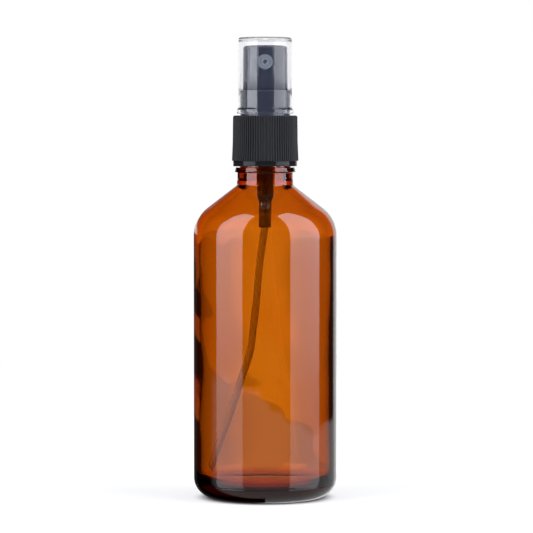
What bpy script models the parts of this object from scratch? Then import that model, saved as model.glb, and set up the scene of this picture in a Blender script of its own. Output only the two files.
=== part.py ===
"""Amber glass bottle with a fine-mist spray pump, a clear overcap and a curved dip tube.

The bottle stands on the XY plane with its axis on +Z, and the nozzle looks along -Y. The sizes below
are in millimetres. MM turns them into Blender's metres where a mesh or a curve is made.
"""

import math

import bmesh
import bpy
from mathutils import Matrix, Vector

MM = 0.001

# Bottle: a 100 ml round body with a conical shoulder and an 18 mm screw neck.
BODY_RADIUS = 22.25
HEEL_RADIUS = 6.4
WALL = 2.1
FLOOR_HEIGHT = 5.2
FLOOR_CROWN = 0.9
FLOOR_CORNER = 3.6
PUSH_UP_RADIUS = 13.8
PUSH_UP_DEPTH = 1.4
SHOULDER_START = 81.6
SHOULDER_RADIUS = 11.1
SHOULDER_SLOPE = math.radians(37.4)
NECK_RADIUS = 8.62
NECK_ROOT_RADIUS = 8.75
NECK_ROOT_TOP = 99.3
BEAD_RADIUS = 9.5
BEAD_TOP_RADIUS = 9.15
BEAD_BOTTOM = 101.45
BEAD_TOP = 102.95
FINISH_RADIUS = 7.9
LIP_HEIGHT = 114.85
NECK_BORE = 5.7

# Screw thread: the same right-handed helix on the glass and, a little lower, in the collar.
THREAD_PITCH = 3.175
THREAD_TURNS = 1.3
THREAD_START = 106.8
THREAD_CREST = 8.8
THREAD_ROOT_WIDTH = 1.9
THREAD_CREST_WIDTH = 0.8
COLLAR_THREAD_DROP = 1.35
COLLAR_THREAD_CREST = 8.2

# Collar: ribbed closure with a plain band under the ribs.
COLLAR_BOTTOM = 103.3
COLLAR_BAND_TOP = 105.0
COLLAR_TOP = 119.05
COLLAR_RIB_TOP = 118.45
COLLAR_WALL_RADIUS = 9.75
COLLAR_BAND_RADIUS = 9.95
COLLAR_BORE = 9.2
COLLAR_PLATE_BOTTOM = 117.9
COLLAR_HOLE = 7.95
RIB_COUNT = 76
RIB_BOTTOM_RADIUS = 10.35
RIB_TOP_RADIUS = 10.03
RIB_DEPTH = 0.2
RIB_RING_BORE = 9.55

# Turret: the chimney that holds the pump in the collar and guides the button.
TURRET_RADIUS = 7.8
TURRET_BORE = 7.15
TURRET_TOP = 126.9
TURRET_FLANGE = 8.9
TURRET_FLANGE_BOTTOM = 116.75
TURRET_FLOOR = 117.75
TURRET_STEM_HOLE = 2.3

# Neck gasket and the retaining ring in the mouth of the housing.
GASKET_RADIUS = 7.9
GASKET_BORE = 4.55
GASKET_BOTTOM = 114.95
GASKET_TOP = 115.7
RING_RADIUS = 3.85
RING_BORE = 2.2
RING_BOTTOM = 113.1
RING_TOP = 116.6

# Pump housing, from the flange on the gasket down to the dip-tube socket.
HOUSING_FLANGE = 8.0
HOUSING_FLANGE_TOP = 116.65
HOUSING_FLANGE_BOTTOM = 115.8
CYLINDER_RADIUS = 4.4
CYLINDER_MOUTH = 3.95
CYLINDER_MOUTH_BOTTOM = 113.0
CYLINDER_BORE = 3.5
CYLINDER_BORE_BOTTOM = 103.3
CYLINDER_BOTTOM = 102.6
BARREL_RADIUS = 2.6
BARREL_TOP = 101.2
BARREL_BORE = 1.9
BARREL_BORE_TOP = 102.2
BARREL_BOTTOM = 93.6
SPRING_SEAT = 96.85
CAGE_LIP = 0.98
CAGE_LIP_BOTTOM = 96.2
CAGE_RADIUS = 1.36
CAGE_BOTTOM = 94.4
INLET_RADIUS = 0.6
INLET_TOP = 93.3
SOCKET_RADIUS = 1.9
SOCKET_SHOULDER = 91.7
SOCKET_ROOF = 91.6
SOCKET_BOTTOM = 84.4
SOCKET_BORE = 1.25
VENT_HEIGHT = 112.4
VENT_RADIUS = 0.3

# Moving parts of the pump, drawn with the button up.
BALL_RADIUS = 1.1
BALL_HEIGHT = 94.5
STEM_TOP = 133.0
STEM_RADIUS = 1.9
STEM_BORE = 0.95
STEM_FLANGE = 2.9
STEM_FLANGE_TOP = 112.95
STEM_FLANGE_BOTTOM = 112.2
STEM_SPIGOT = 1.55
STEM_BOTTOM = 108.5
SEAT_PIN = 0.8
SEAT_PIN_TOP = 111.5
SEAT_FLANGE = 2.1
SEAT_FLANGE_TOP = 108.2
SEAT_FLANGE_BOTTOM = 107.4
SEAT_GUIDE = 0.95
SEAT_BOTTOM = 103.5
PISTON_RADIUS = 3.42
PISTON_LIP_BORE = 3.05
PISTON_TOP = 111.2
PISTON_BOTTOM = 108.35
PISTON_WEB_TOP = 110.0
PISTON_WEB_BOTTOM = 109.2
PISTON_HUB = 2.3
PISTON_BORE = 1.65
RETURN_WIRE = 0.2
RETURN_COIL = 1.45
RETURN_BOTTOM = 97.0
RETURN_TOP = 107.3
RETURN_TURNS = 8
SMALL_WIRE = 0.15
SMALL_COIL = 2.2
SMALL_BOTTOM = 110.1
SMALL_TOP = 112.1
SMALL_TURNS = 3

# Button with its nozzle. The nozzle's own axis runs along Y.
BUTTON_TOP = 140.7
BUTTON_TOP_RADIUS = 6.85
BUTTON_BOTTOM = 123.2
BUTTON_BOTTOM_RADIUS = 7.02
BUTTON_WALL = 1.0
BUTTON_CEILING = 139.3
BUTTON_EDGE = 0.9
BUTTON_DISH = 0.4
BOSS_RADIUS = 3.1
BOSS_BOTTOM = 125.0
STEM_SOCKET = 2.0
STEM_SOCKET_TOP = 133.2
FEED_RADIUS = 0.8
FEED_TOP = 138.0
NOZZLE_HEIGHT = 135.55
NOZZLE_BOSS_RADIUS = 3.3
NOZZLE_BOSS_FRONT = 6.2
WELL_RADIUS = 2.45
WELL_FLOOR = 3.5
POST_RADIUS = 1.3
POST_END = 5.7
CHANNEL_OFFSET = 1.88
CHANNEL_RADIUS = 0.45
NOZZLE_RADIUS = 2.35
NOZZLE_FACE = 6.7
NOZZLE_BACK = 3.9
NOZZLE_BORE = 1.5
NOZZLE_INNER_FACE = 5.9
ORIFICE_RADIUS = 0.25
ORIFICE_MOUTH = 0.7
ORIFICE_MOUTH_DEPTH = 0.4

# Clear overcap.
CAP_RADIUS = 8.38
CAP_TOP_RADIUS = 8.3
CAP_MOUTH_BORE = 7.93
CAP_STEP = 127.3
CAP_BORE = 7.6
CAP_BOTTOM = 119.65
CAP_TOP = 143.2
CAP_CEILING = 142.3
CAP_EDGE = 0.6
CAP_BEAD_RADIUS = 8.8
CAP_BEAD_TOP = 121.4

# Dip tube: from its socket on the axis, it bows out to the foot of the left wall.
TUBE_RADIUS = 1.15
TUBE_WALL = 0.45
TUBE_STEP = 4.0
TUBE_CUT_SLANT = math.radians(38)
TUBE_ROUTE = [
    (0.0, 91.4),
    (0.0, 87.9),
    (-0.1, 84.2),
    (-1.6, 74.8),
    (-2.6, 63.0),
    (-3.8, 52.3),
    (-4.9, 45.2),
    (-7.0, 38.0),
    (-9.2, 30.9),
    (-11.7, 23.7),
    (-14.4, 16.6),
    (-16.9, 9.4),
    (-17.5, 7.7),
]

# Facets round an axis, points on a turn of thread or coil, and the distance that joins two points.
WIDE = 36
MIDDLE = 28
NARROW = 18
FINE = 8
THREAD_POINTS = 24
COIL_POINTS = 9
MERGE = 1e-6

MATERIALS = {
    "amber_glass": ((0.42, 0.13, 0.01, 1.0), 0.03, 0.0),
    "ribbed_black": ((0.03, 0.03, 0.033, 1.0), 0.45, 0.0),
    "smooth_black": ((0.02, 0.02, 0.024, 1.0), 0.2, 0.0),
    "grey_insert": ((0.2, 0.22, 0.26, 1.0), 0.4, 0.0),
    "clear_plastic": ((0.9, 0.92, 0.93, 1.0), 0.05, 0.0),
    "milky_plastic": ((0.78, 0.78, 0.74, 1.0), 0.4, 0.0),
    "white_plastic": ((0.85, 0.85, 0.83, 1.0), 0.35, 0.0),
    "soft_foam": ((0.8, 0.8, 0.77, 1.0), 0.7, 0.0),
    "steel": ((0.6, 0.6, 0.62, 1.0), 0.25, 1.0),
}


# ---- outlines, in millimetres ---------------------------------------------------------------------


def arc(centre, radius, start, end, steps):
    """Points of an arc about centre, from one angle to the other, both ends included."""
    angles = [start + (end - start) * i / steps for i in range(steps + 1)]
    return [(centre[0] + radius * math.cos(a), centre[1] + radius * math.sin(a)) for a in angles]


def fillet(before, corner, after, radius, steps=2):
    """The arc of this radius that rounds the corner between two straight runs."""
    point = Vector(corner[:2])
    back = (Vector(before[:2]) - point).normalized()
    ahead = (Vector(after[:2]) - point).normalized()
    half = back.angle(ahead) / 2
    centre = point + (back + ahead).normalized() * (radius / math.sin(half))
    first = point + back * (radius / math.tan(half)) - centre
    last = point + ahead * (radius / math.tan(half)) - centre
    start = math.atan2(first.y, first.x)
    sweep = (math.atan2(last.y, last.x) - start + math.pi) % (2 * math.pi) - math.pi
    return arc(centre, radius, start, start + sweep, steps)


def rounded(corners):
    """The outline through corners (radius, height), or (radius, height, fillet) for a rounded one."""
    points = []
    for i, corner in enumerate(corners):
        if len(corner) == 3:
            points += fillet(corners[i - 1], corner, corners[(i + 1) % len(corners)], corner[2])
        else:
            points.append(corner)
    return points


def clockwise(points):
    """The outline in the order that turns with its faces outwards: down its outer side."""
    following = points[1:] + points[:1]
    doubled_area = sum(a[0] * b[1] - b[0] * a[1] for a, b in zip(points, following))
    return points[::-1] if doubled_area > 0 else points


# ---- solids ---------------------------------------------------------------------------------------


def add_object(name, data, collection):
    made = bpy.data.objects.new(name, data)
    collection.objects.link(made)
    return made


def turned(name, corners, segments, collection, closed=True):
    """A piece turned about Z. An open outline starts and ends on the axis."""
    points = clockwise(rounded(corners))
    edges = [(i, i + 1) for i in range(len(points) - 1)]
    if closed:
        edges.append((len(points) - 1, 0))
    mesh = bpy.data.meshes.new(name)
    mesh.from_pydata([(r * MM, 0, z * MM) for r, z in points], edges, [])
    made = add_object(name, mesh, collection)
    screw = made.modifiers.new("Turn", "SCREW")
    screw.steps = segments
    screw.render_steps = segments
    screw.use_merge_vertices = True
    screw.merge_threshold = MERGE
    return made


def as_mesh(source):
    """Replaces an object by its evaluated shape as a plain mesh, with a curve's caps welded on."""
    graph = bpy.context.evaluated_depsgraph_get()
    mesh = bpy.data.meshes.new_from_object(source.evaluated_get(graph))
    shape = bmesh.new()
    shape.from_mesh(mesh)
    bmesh.ops.remove_doubles(shape, verts=shape.verts, dist=MERGE)
    bmesh.ops.recalc_face_normals(shape, faces=shape.faces)
    shape.to_mesh(mesh)
    shape.free()
    name = source.name
    collection = source.users_collection[0]
    place = source.matrix_world.copy()
    bpy.data.objects.remove(source)
    made = add_object(name, mesh, collection)
    made.matrix_world = place
    return made


def rod(name, radius, start, end, segments, collection):
    """A plain cylinder between two points."""
    first = Vector(start) * MM
    last = Vector(end) * MM
    turn = (last - first).to_track_quat("Z", "Y").to_matrix().to_4x4()
    mesh = bpy.data.meshes.new(name)
    shape = bmesh.new()
    bmesh.ops.create_cone(
        shape,
        cap_ends=True,
        segments=segments,
        radius1=radius * MM,
        radius2=radius * MM,
        depth=(last - first).length,
        matrix=Matrix.Translation((first + last) / 2) @ turn,
    )
    shape.to_mesh(mesh)
    shape.free()
    return add_object(name, mesh, collection)


def wire(name, points, radius, collection, capped=True):
    """A round wire or tube through points, as a POLY curve."""
    curve = bpy.data.curves.new(name, "CURVE")
    curve.dimensions = "3D"
    curve.bevel_depth = radius * MM
    curve.bevel_resolution = 2
    curve.use_fill_caps = capped
    spline = curve.splines.new("POLY")
    spline.points.add(len(points) - 1)
    for point, at in zip(spline.points, points):
        point.co = (*(Vector(at) * MM), 1)
    return add_object(name, curve, collection)


def combine(piece, other, operation):
    """Adds a Boolean to piece, with other as its operand, and hides the operand."""
    other.hide_render = True
    other.display_type = "WIRE"
    boolean = piece.modifiers.new(other.name, "BOOLEAN")
    boolean.operation = operation
    boolean.object = other


def thread(name, wall, crest, start, collection):
    """The screw ridge on a wall of this radius. Its root lies in the wall, and its ends run out."""
    root = wall + math.copysign(0.3, wall - crest)
    section = [
        (0, -THREAD_ROOT_WIDTH / 2),
        (1, -THREAD_CREST_WIDTH / 2),
        (1, THREAD_CREST_WIDTH / 2),
        (0, THREAD_ROOT_WIDTH / 2),
    ]
    count = round(THREAD_TURNS * THREAD_POINTS)
    run_out = THREAD_POINTS / 6
    shape = bmesh.new()
    rings = []
    for i in range(count + 1):
        angle = 2 * math.pi * i / THREAD_POINTS - math.pi / 2
        rise = start + THREAD_PITCH * i / THREAD_POINTS
        height = (crest - root) * min(1, (min(i, count - i) + 0.4) / run_out)
        ring = []
        for share, up in section:
            out = root + height * share
            at = Vector((out * math.cos(angle), out * math.sin(angle), rise + up))
            ring.append(shape.verts.new(at * MM))
        rings.append(ring)
    for ring, following in zip(rings, rings[1:]):
        for k in range(len(section)):
            shape.faces.new((ring[k - 1], ring[k], following[k], following[k - 1]))
    shape.faces.new(rings[0])
    shape.faces.new(rings[-1])
    bmesh.ops.recalc_face_normals(shape, faces=shape.faces)
    mesh = bpy.data.meshes.new(name)
    shape.to_mesh(mesh)
    shape.free()
    return add_object(name, mesh, collection)


def coil(name, radius, wire_radius, bottom, top, turns, collection):
    """A compression spring with one closed turn at each end, between two flat seats."""
    closed_rise = 2.2 * wire_radius
    low = bottom + wire_radius
    high = top - wire_radius
    open_rise = high - low - 2 * closed_rise
    points = []
    for i in range(turns * COIL_POINTS + 1):
        turn = i / COIL_POINTS
        end_turns = min(turn, 1) + max(turn - turns + 1, 0)
        open_share = min(max((turn - 1) / (turns - 2), 0), 1)
        angle = 2 * math.pi * turn
        height = low + closed_rise * end_turns + open_rise * open_share
        points.append((radius * math.cos(angle), radius * math.sin(angle), height))
    return wire(name, points, wire_radius, collection)


def smooth_route(stations, step):
    """Points about one step apart on the smooth curve through the stations, in the XZ plane."""
    ends = [stations[0], *stations, stations[-1]]
    points = []
    for before, start, end, after in zip(ends, ends[1:], ends[2:], ends[3:]):
        first = Vector(start)
        last = Vector(end)
        leave = (last - Vector(before)) / 2
        arrive = (Vector(after) - first) / 2
        pieces = max(1, round((last - first).length / step))
        for i in range(pieces):
            t = i / pieces
            from_ends = (2 * t**3 - 3 * t**2 + 1) * first + (3 * t**2 - 2 * t**3) * last
            from_slopes = (t**3 - 2 * t**2 + t) * leave + (t**3 - t**2) * arrive
            at = from_ends + from_slopes
            points.append((at.x, 0, at.y))
    points.append((stations[-1][0], 0, stations[-1][1]))
    return points


# ---- the pieces -----------------------------------------------------------------------------------


def shoulder_arc(inset, steps):
    """The shoulder from the straight wall up to its cone, this far inside the outer surface."""
    centre = (BODY_RADIUS - SHOULDER_RADIUS, SHOULDER_START)
    return arc(centre, SHOULDER_RADIUS - inset, 0, math.pi / 2 - SHOULDER_SLOPE, steps)


def make_bottle(parts, cutters):
    """Glass from the push-up in the base, up the outside, over the lip and down the inside."""
    heel_centre = (BODY_RADIUS - HEEL_RADIUS, HEEL_RADIUS)
    heel = arc(heel_centre, HEEL_RADIUS, -math.pi / 2, 0, 4)
    outer = shoulder_arc(0, 6)
    inner = shoulder_arc(WALL, 4)
    slope = math.tan(SHOULDER_SLOPE)
    root = outer[-1][1] + (outer[-1][0] - NECK_ROOT_RADIUS) * slope
    throat = inner[-1][1] + (inner[-1][0] - NECK_BORE) * slope
    corner_centre = (BODY_RADIUS - WALL - FLOOR_CORNER, FLOOR_HEIGHT + FLOOR_CORNER)
    corner = arc(corner_centre, FLOOR_CORNER, 0, -math.pi / 2, 3)
    outline = [
        (0, PUSH_UP_DEPTH),
        (PUSH_UP_RADIUS * 0.6, PUSH_UP_DEPTH * 0.75),
        (PUSH_UP_RADIUS - 0.7, 0.4),
        (PUSH_UP_RADIUS, 0),
        *heel,
        *outer,
        (NECK_ROOT_RADIUS, root),
        (NECK_ROOT_RADIUS, NECK_ROOT_TOP - 0.4),
        (NECK_RADIUS, NECK_ROOT_TOP),
        (NECK_RADIUS, BEAD_BOTTOM),
        (BEAD_RADIUS, BEAD_BOTTOM + 0.15, 0.12),
        (BEAD_TOP_RADIUS, BEAD_TOP),
        (FINISH_RADIUS, BEAD_TOP),
        (FINISH_RADIUS, LIP_HEIGHT, 0.5),
        (NECK_BORE, LIP_HEIGHT, 0.5),
        (NECK_BORE, throat, 1.5),
        *inner[::-1],
        *corner,
        (corner_centre[0] * 0.5, FLOOR_HEIGHT + FLOOR_CROWN * 0.7),
        (0, FLOOR_HEIGHT + FLOOR_CROWN),
    ]
    bottle = turned("bottle", outline, WIDE, parts, closed=False)
    ridge = thread("glass_thread", FINISH_RADIUS, THREAD_CREST, THREAD_START, cutters)
    combine(bottle, ridge, "UNION")
    return bottle


def rib_ring(collection):
    """The toothed band round the collar, a little narrower at its top."""
    height = COLLAR_RIB_TOP - COLLAR_BAND_TOP
    curve = bpy.data.curves.new("collar_ribs", "CURVE")
    curve.dimensions = "2D"
    curve.fill_mode = "BOTH"
    curve.extrude = height / 2 * MM
    outer = []
    for i in range(2 * RIB_COUNT):
        radius = RIB_BOTTOM_RADIUS - (RIB_DEPTH if i % 2 else 0)
        angle = math.pi * i / RIB_COUNT
        outer.append((radius * math.cos(angle), radius * math.sin(angle)))
    inner = arc((0, 0), RIB_RING_BORE, 0, 2 * math.pi * (WIDE - 1) / WIDE, WIDE - 1)
    for ring in (outer, inner):
        spline = curve.splines.new("POLY")
        spline.points.add(len(ring) - 1)
        for point, at in zip(spline.points, ring):
            point.co = (at[0] * MM, at[1] * MM, 0, 1)
        spline.use_cyclic_u = True
    ribs = as_mesh(add_object("collar_ribs", curve, collection))
    for vertex in ribs.data.vertices:
        if vertex.co.z > 0:
            vertex.co.xy *= RIB_TOP_RADIUS / RIB_BOTTOM_RADIUS
        vertex.co.z += (COLLAR_BAND_TOP + height / 2) * MM
    return ribs


def make_closure_collar(parts, cutters):
    outline = [
        (COLLAR_HOLE, COLLAR_TOP),
        (COLLAR_WALL_RADIUS + 0.1, COLLAR_TOP, 0.5),
        (COLLAR_WALL_RADIUS, COLLAR_BAND_TOP + 0.3),
        (COLLAR_BAND_RADIUS, COLLAR_BAND_TOP),
        (COLLAR_BAND_RADIUS, COLLAR_BOTTOM, 0.15),
        (COLLAR_BORE, COLLAR_BOTTOM, 0.15),
        (COLLAR_BORE, COLLAR_PLATE_BOTTOM),
        (COLLAR_HOLE, COLLAR_PLATE_BOTTOM),
    ]
    collar = turned("closure_collar", outline, WIDE, parts)
    combine(collar, rib_ring(cutters), "UNION")
    start = THREAD_START - COLLAR_THREAD_DROP
    ridge = thread("collar_thread", COLLAR_BORE, COLLAR_THREAD_CREST, start, cutters)
    combine(collar, ridge, "UNION")
    return collar


def make_turret(parts, _cutters):
    outline = [
        (TURRET_BORE, TURRET_TOP, 0.2),
        (TURRET_RADIUS, TURRET_TOP, 0.3),
        (TURRET_RADIUS, TURRET_FLOOR),
        (TURRET_FLANGE, TURRET_FLOOR),
        (TURRET_FLANGE, TURRET_FLANGE_BOTTOM),
        (TURRET_STEM_HOLE, TURRET_FLANGE_BOTTOM),
        (TURRET_STEM_HOLE, TURRET_FLOOR, 0.2),
        (TURRET_BORE, TURRET_FLOOR),
    ]
    return turned("turret", outline, WIDE, parts)


def make_neck_gasket(parts, _cutters):
    outline = [
        (GASKET_BORE, GASKET_TOP),
        (GASKET_RADIUS, GASKET_TOP),
        (GASKET_RADIUS, GASKET_BOTTOM),
        (GASKET_BORE, GASKET_BOTTOM),
    ]
    return turned("neck_gasket", outline, MIDDLE, parts)


def make_retaining_ring(parts, _cutters):
    outline = [
        (RING_BORE, RING_TOP, 0.3),
        (RING_RADIUS, RING_TOP),
        (RING_RADIUS, RING_BOTTOM, 0.3),
        (RING_BORE, RING_BOTTOM),
    ]
    return turned("retaining_ring", outline, NARROW, parts)


def make_pump_housing(parts, cutters):
    """The flange, the wide cylinder, the barrel with its ball cage, and the dip-tube socket."""
    outline = [
        (HOUSING_FLANGE, HOUSING_FLANGE_TOP),
        (HOUSING_FLANGE, HOUSING_FLANGE_BOTTOM),
        (CYLINDER_RADIUS, HOUSING_FLANGE_BOTTOM),
        (CYLINDER_RADIUS, CYLINDER_BOTTOM),
        (BARREL_RADIUS, BARREL_TOP),
        (BARREL_RADIUS, BARREL_BOTTOM),
        (SOCKET_RADIUS, SOCKET_SHOULDER),
        (SOCKET_RADIUS, SOCKET_BOTTOM),
        (SOCKET_BORE, SOCKET_BOTTOM),
        (SOCKET_BORE, SOCKET_ROOF),
        (INLET_RADIUS, SOCKET_ROOF),
        (INLET_RADIUS, INLET_TOP),
        (CAGE_RADIUS, CAGE_BOTTOM),
        (CAGE_RADIUS, CAGE_LIP_BOTTOM),
        (CAGE_LIP, CAGE_LIP_BOTTOM),
        (CAGE_LIP, SPRING_SEAT),
        (BARREL_BORE, SPRING_SEAT),
        (BARREL_BORE, BARREL_BORE_TOP),
        (CYLINDER_BORE, CYLINDER_BORE_BOTTOM),
        (CYLINDER_BORE, CYLINDER_MOUTH_BOTTOM),
        (CYLINDER_MOUTH, CYLINDER_MOUTH_BOTTOM),
        (CYLINDER_MOUTH, HOUSING_FLANGE_TOP),
    ]
    housing = turned("pump_housing", outline, MIDDLE, parts)
    inside = (CYLINDER_BORE - 1, 0, VENT_HEIGHT)
    outside = (CYLINDER_RADIUS + 1, 0, VENT_HEIGHT)
    combine(housing, rod("vent", VENT_RADIUS, inside, outside, FINE, cutters), "DIFFERENCE")
    return housing


def make_dip_tube(parts, cutters):
    """A tube that follows its route, cut on a slant at the foot."""
    route = smooth_route(TUBE_ROUTE, TUBE_STEP)
    tube = wire("dip_tube", route, TUBE_RADIUS, parts, capped=False)
    wall = tube.modifiers.new("Wall", "SOLIDIFY")
    wall.thickness = TUBE_WALL * MM
    wall.offset = -1
    tube = as_mesh(tube)
    foot = Vector(route[-1]) * MM
    along = (foot - Vector(route[-2]) * MM).normalized()
    slanted = Matrix.Rotation(TUBE_CUT_SLANT, 3, "Y") @ along
    size = 4 * TUBE_RADIUS * MM
    place = Matrix.Translation(foot - along * TUBE_RADIUS * MM + slanted * size / 2)
    mesh = bpy.data.meshes.new("tube_cut")
    block = bmesh.new()
    turn = slanted.to_track_quat("Z", "Y").to_matrix().to_4x4()
    bmesh.ops.create_cube(block, size=size, matrix=place @ turn)
    block.to_mesh(mesh)
    block.free()
    combine(tube, add_object("tube_cut", mesh, cutters), "DIFFERENCE")
    return tube


def make_inlet_ball(parts, _cutters):
    mesh = bpy.data.meshes.new("inlet_ball")
    shape = bmesh.new()
    bmesh.ops.create_uvsphere(shape, u_segments=12, v_segments=7, radius=BALL_RADIUS * MM)
    shape.to_mesh(mesh)
    shape.free()
    ball = add_object("inlet_ball", mesh, parts)
    ball.location.z = BALL_HEIGHT * MM
    return ball


def make_return_spring(parts, _cutters):
    return coil("return_spring", RETURN_COIL, RETURN_WIRE, RETURN_BOTTOM, RETURN_TOP, RETURN_TURNS, parts)


def make_precompression_spring(parts, _cutters):
    return coil("precompression_spring", SMALL_COIL, SMALL_WIRE, SMALL_BOTTOM, SMALL_TOP, SMALL_TURNS, parts)


def make_piston(parts, _cutters):
    """A cup with two lips, which slides on the stem and seals against the cylinder."""
    outline = [
        (PISTON_RADIUS, PISTON_TOP),
        (PISTON_RADIUS, PISTON_BOTTOM),
        (PISTON_LIP_BORE, PISTON_BOTTOM),
        (PISTON_LIP_BORE - 0.3, PISTON_WEB_BOTTOM),
        (PISTON_HUB, PISTON_WEB_BOTTOM),
        (PISTON_HUB, PISTON_BOTTOM),
        (PISTON_BORE, PISTON_BOTTOM),
        (PISTON_BORE, PISTON_WEB_TOP),
        (PISTON_LIP_BORE - 0.3, PISTON_WEB_TOP),
        (PISTON_LIP_BORE, PISTON_TOP),
    ]
    return turned("piston", outline, NARROW, parts)


def make_piston_seat(parts, _cutters):
    """The pin plugs into the stem, the flange closes the piston, and the rod guides the spring."""
    outline = [
        (0, SEAT_PIN_TOP),
        (SEAT_PIN, SEAT_PIN_TOP),
        (SEAT_PIN, SEAT_FLANGE_TOP),
        (SEAT_FLANGE, SEAT_FLANGE_TOP),
        (SEAT_FLANGE, SEAT_FLANGE_BOTTOM),
        (SEAT_GUIDE, SEAT_FLANGE_BOTTOM),
        (SEAT_GUIDE, SEAT_BOTTOM, 0.3),
        (0, SEAT_BOTTOM),
    ]
    return turned("piston_seat", outline, NARROW, parts, closed=False)


def make_stem(parts, _cutters):
    outline = [
        (STEM_BORE, STEM_TOP),
        (STEM_RADIUS, STEM_TOP, 0.3),
        (STEM_RADIUS, STEM_FLANGE_TOP),
        (STEM_FLANGE, STEM_FLANGE_TOP),
        (STEM_FLANGE, STEM_FLANGE_BOTTOM),
        (STEM_SPIGOT, STEM_FLANGE_BOTTOM),
        (STEM_SPIGOT, STEM_BOTTOM),
        (STEM_BORE, STEM_BOTTOM),
    ]
    return turned("stem", outline, NARROW, parts)


def along_nozzle(piece):
    """Lays a piece that is turned about Z along the nozzle's axis, with its top to the front."""
    piece.rotation_euler.x = math.pi / 2
    piece.location.z = NOZZLE_HEIGHT * MM
    return piece


def make_actuator_button(parts, cutters):
    """A hollow button with a socket for the stem and a well for the nozzle, joined by a channel."""
    outline = [
        (0, BUTTON_TOP - BUTTON_DISH),
        (BUTTON_TOP_RADIUS * 0.5, BUTTON_TOP - BUTTON_DISH * 0.75),
        (BUTTON_TOP_RADIUS - 1.4, BUTTON_TOP),
        (BUTTON_TOP_RADIUS, BUTTON_TOP, BUTTON_EDGE),
        (BUTTON_BOTTOM_RADIUS, BUTTON_BOTTOM, 0.2),
        (BUTTON_BOTTOM_RADIUS - BUTTON_WALL, BUTTON_BOTTOM),
        (BUTTON_TOP_RADIUS - BUTTON_WALL, BUTTON_CEILING),
        (BOSS_RADIUS, BUTTON_CEILING),
        (BOSS_RADIUS, BOSS_BOTTOM),
        (STEM_SOCKET, BOSS_BOTTOM),
        (STEM_SOCKET, STEM_SOCKET_TOP),
        (FEED_RADIUS, STEM_SOCKET_TOP),
        (FEED_RADIUS, FEED_TOP),
        (0, FEED_TOP),
    ]
    button = turned("actuator_button", outline, MIDDLE, parts, closed=False)
    boss_back = (0, -(STEM_SOCKET + 0.4), NOZZLE_HEIGHT)
    boss_front = (0, -NOZZLE_BOSS_FRONT, NOZZLE_HEIGHT)
    boss = rod("nozzle_boss", NOZZLE_BOSS_RADIUS, boss_back, boss_front, NARROW, cutters)
    combine(button, boss, "UNION")
    beyond = BUTTON_TOP_RADIUS + 1
    well_outline = [
        (0, POST_END),
        (POST_RADIUS, POST_END),
        (POST_RADIUS, WELL_FLOOR),
        (WELL_RADIUS, WELL_FLOOR),
        (WELL_RADIUS, beyond),
        (0, beyond),
    ]
    well = along_nozzle(turned("nozzle_well", well_outline, NARROW, cutters, closed=False))
    combine(button, well, "DIFFERENCE")
    height = NOZZLE_HEIGHT + CHANNEL_OFFSET
    channel_end = (0, -(WELL_FLOOR + 0.5), height)
    channel = rod("feed_channel", CHANNEL_RADIUS, (0, 0, height), channel_end, FINE, cutters)
    combine(button, channel, "DIFFERENCE")
    return button


def make_nozzle_insert(parts, _cutters):
    outline = [
        (NOZZLE_RADIUS, NOZZLE_FACE, 0.2),
        (NOZZLE_RADIUS, NOZZLE_BACK),
        (NOZZLE_BORE, NOZZLE_BACK),
        (NOZZLE_BORE, NOZZLE_INNER_FACE),
        (ORIFICE_RADIUS, NOZZLE_INNER_FACE),
        (ORIFICE_RADIUS, NOZZLE_FACE - ORIFICE_MOUTH_DEPTH),
        (ORIFICE_MOUTH, NOZZLE_FACE),
    ]
    return along_nozzle(turned("nozzle_insert", outline, NARROW, parts))


def make_overcap(parts, _cutters):
    outline = [
        (0, CAP_TOP),
        (CAP_TOP_RADIUS, CAP_TOP, CAP_EDGE),
        (CAP_RADIUS, CAP_BEAD_TOP),
        (CAP_BEAD_RADIUS, CAP_BEAD_TOP - 0.5, 0.3),
        (CAP_BEAD_RADIUS, CAP_BOTTOM, 0.3),
        (CAP_MOUTH_BORE, CAP_BOTTOM, 0.15),
        (CAP_MOUTH_BORE, CAP_STEP),
        (CAP_BORE, CAP_STEP + 0.35),
        (CAP_BORE, CAP_CEILING, CAP_EDGE),
        (0, CAP_CEILING),
    ]
    return turned("overcap", outline, WIDE, parts, closed=False)


PIECES = [
    (make_bottle, "amber_glass"),
    (make_closure_collar, "ribbed_black"),
    (make_turret, "smooth_black"),
    (make_retaining_ring, "white_plastic"),
    (make_neck_gasket, "soft_foam"),
    (make_pump_housing, "milky_plastic"),
    (make_dip_tube, "milky_plastic"),
    (make_inlet_ball, "steel"),
    (make_return_spring, "steel"),
    (make_precompression_spring, "steel"),
    (make_piston_seat, "white_plastic"),
    (make_piston, "milky_plastic"),
    (make_stem, "white_plastic"),
    (make_actuator_button, "smooth_black"),
    (make_nozzle_insert, "grey_insert"),
    (make_overcap, "clear_plastic"),
]


# ---- assembly -------------------------------------------------------------------------------------


def new_collection(name):
    made = bpy.data.collections.new(name)
    bpy.context.scene.collection.children.link(made)
    return made


def make_materials():
    """One Principled material for each finish in MATERIALS."""
    made = {}
    for name, (colour, roughness, metallic) in MATERIALS.items():
        material = bpy.data.materials.new(name)
        material.use_nodes = True
        shader = material.node_tree.nodes["Principled BSDF"]
        shader.inputs["Base Color"].default_value = colour
        shader.inputs["Roughness"].default_value = roughness
        shader.inputs["Metallic"].default_value = metallic
        material.diffuse_color = colour
        made[name] = material
    return made


def finish(piece, material):
    """Gives a piece its material, and smooth shading that keeps edges over 30 degrees sharp."""
    piece.data.materials.append(material)
    if piece.type == "MESH":
        piece.data.shade_smooth()
        piece.data.set_sharp_from_angle(angle=math.radians(30))


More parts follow.
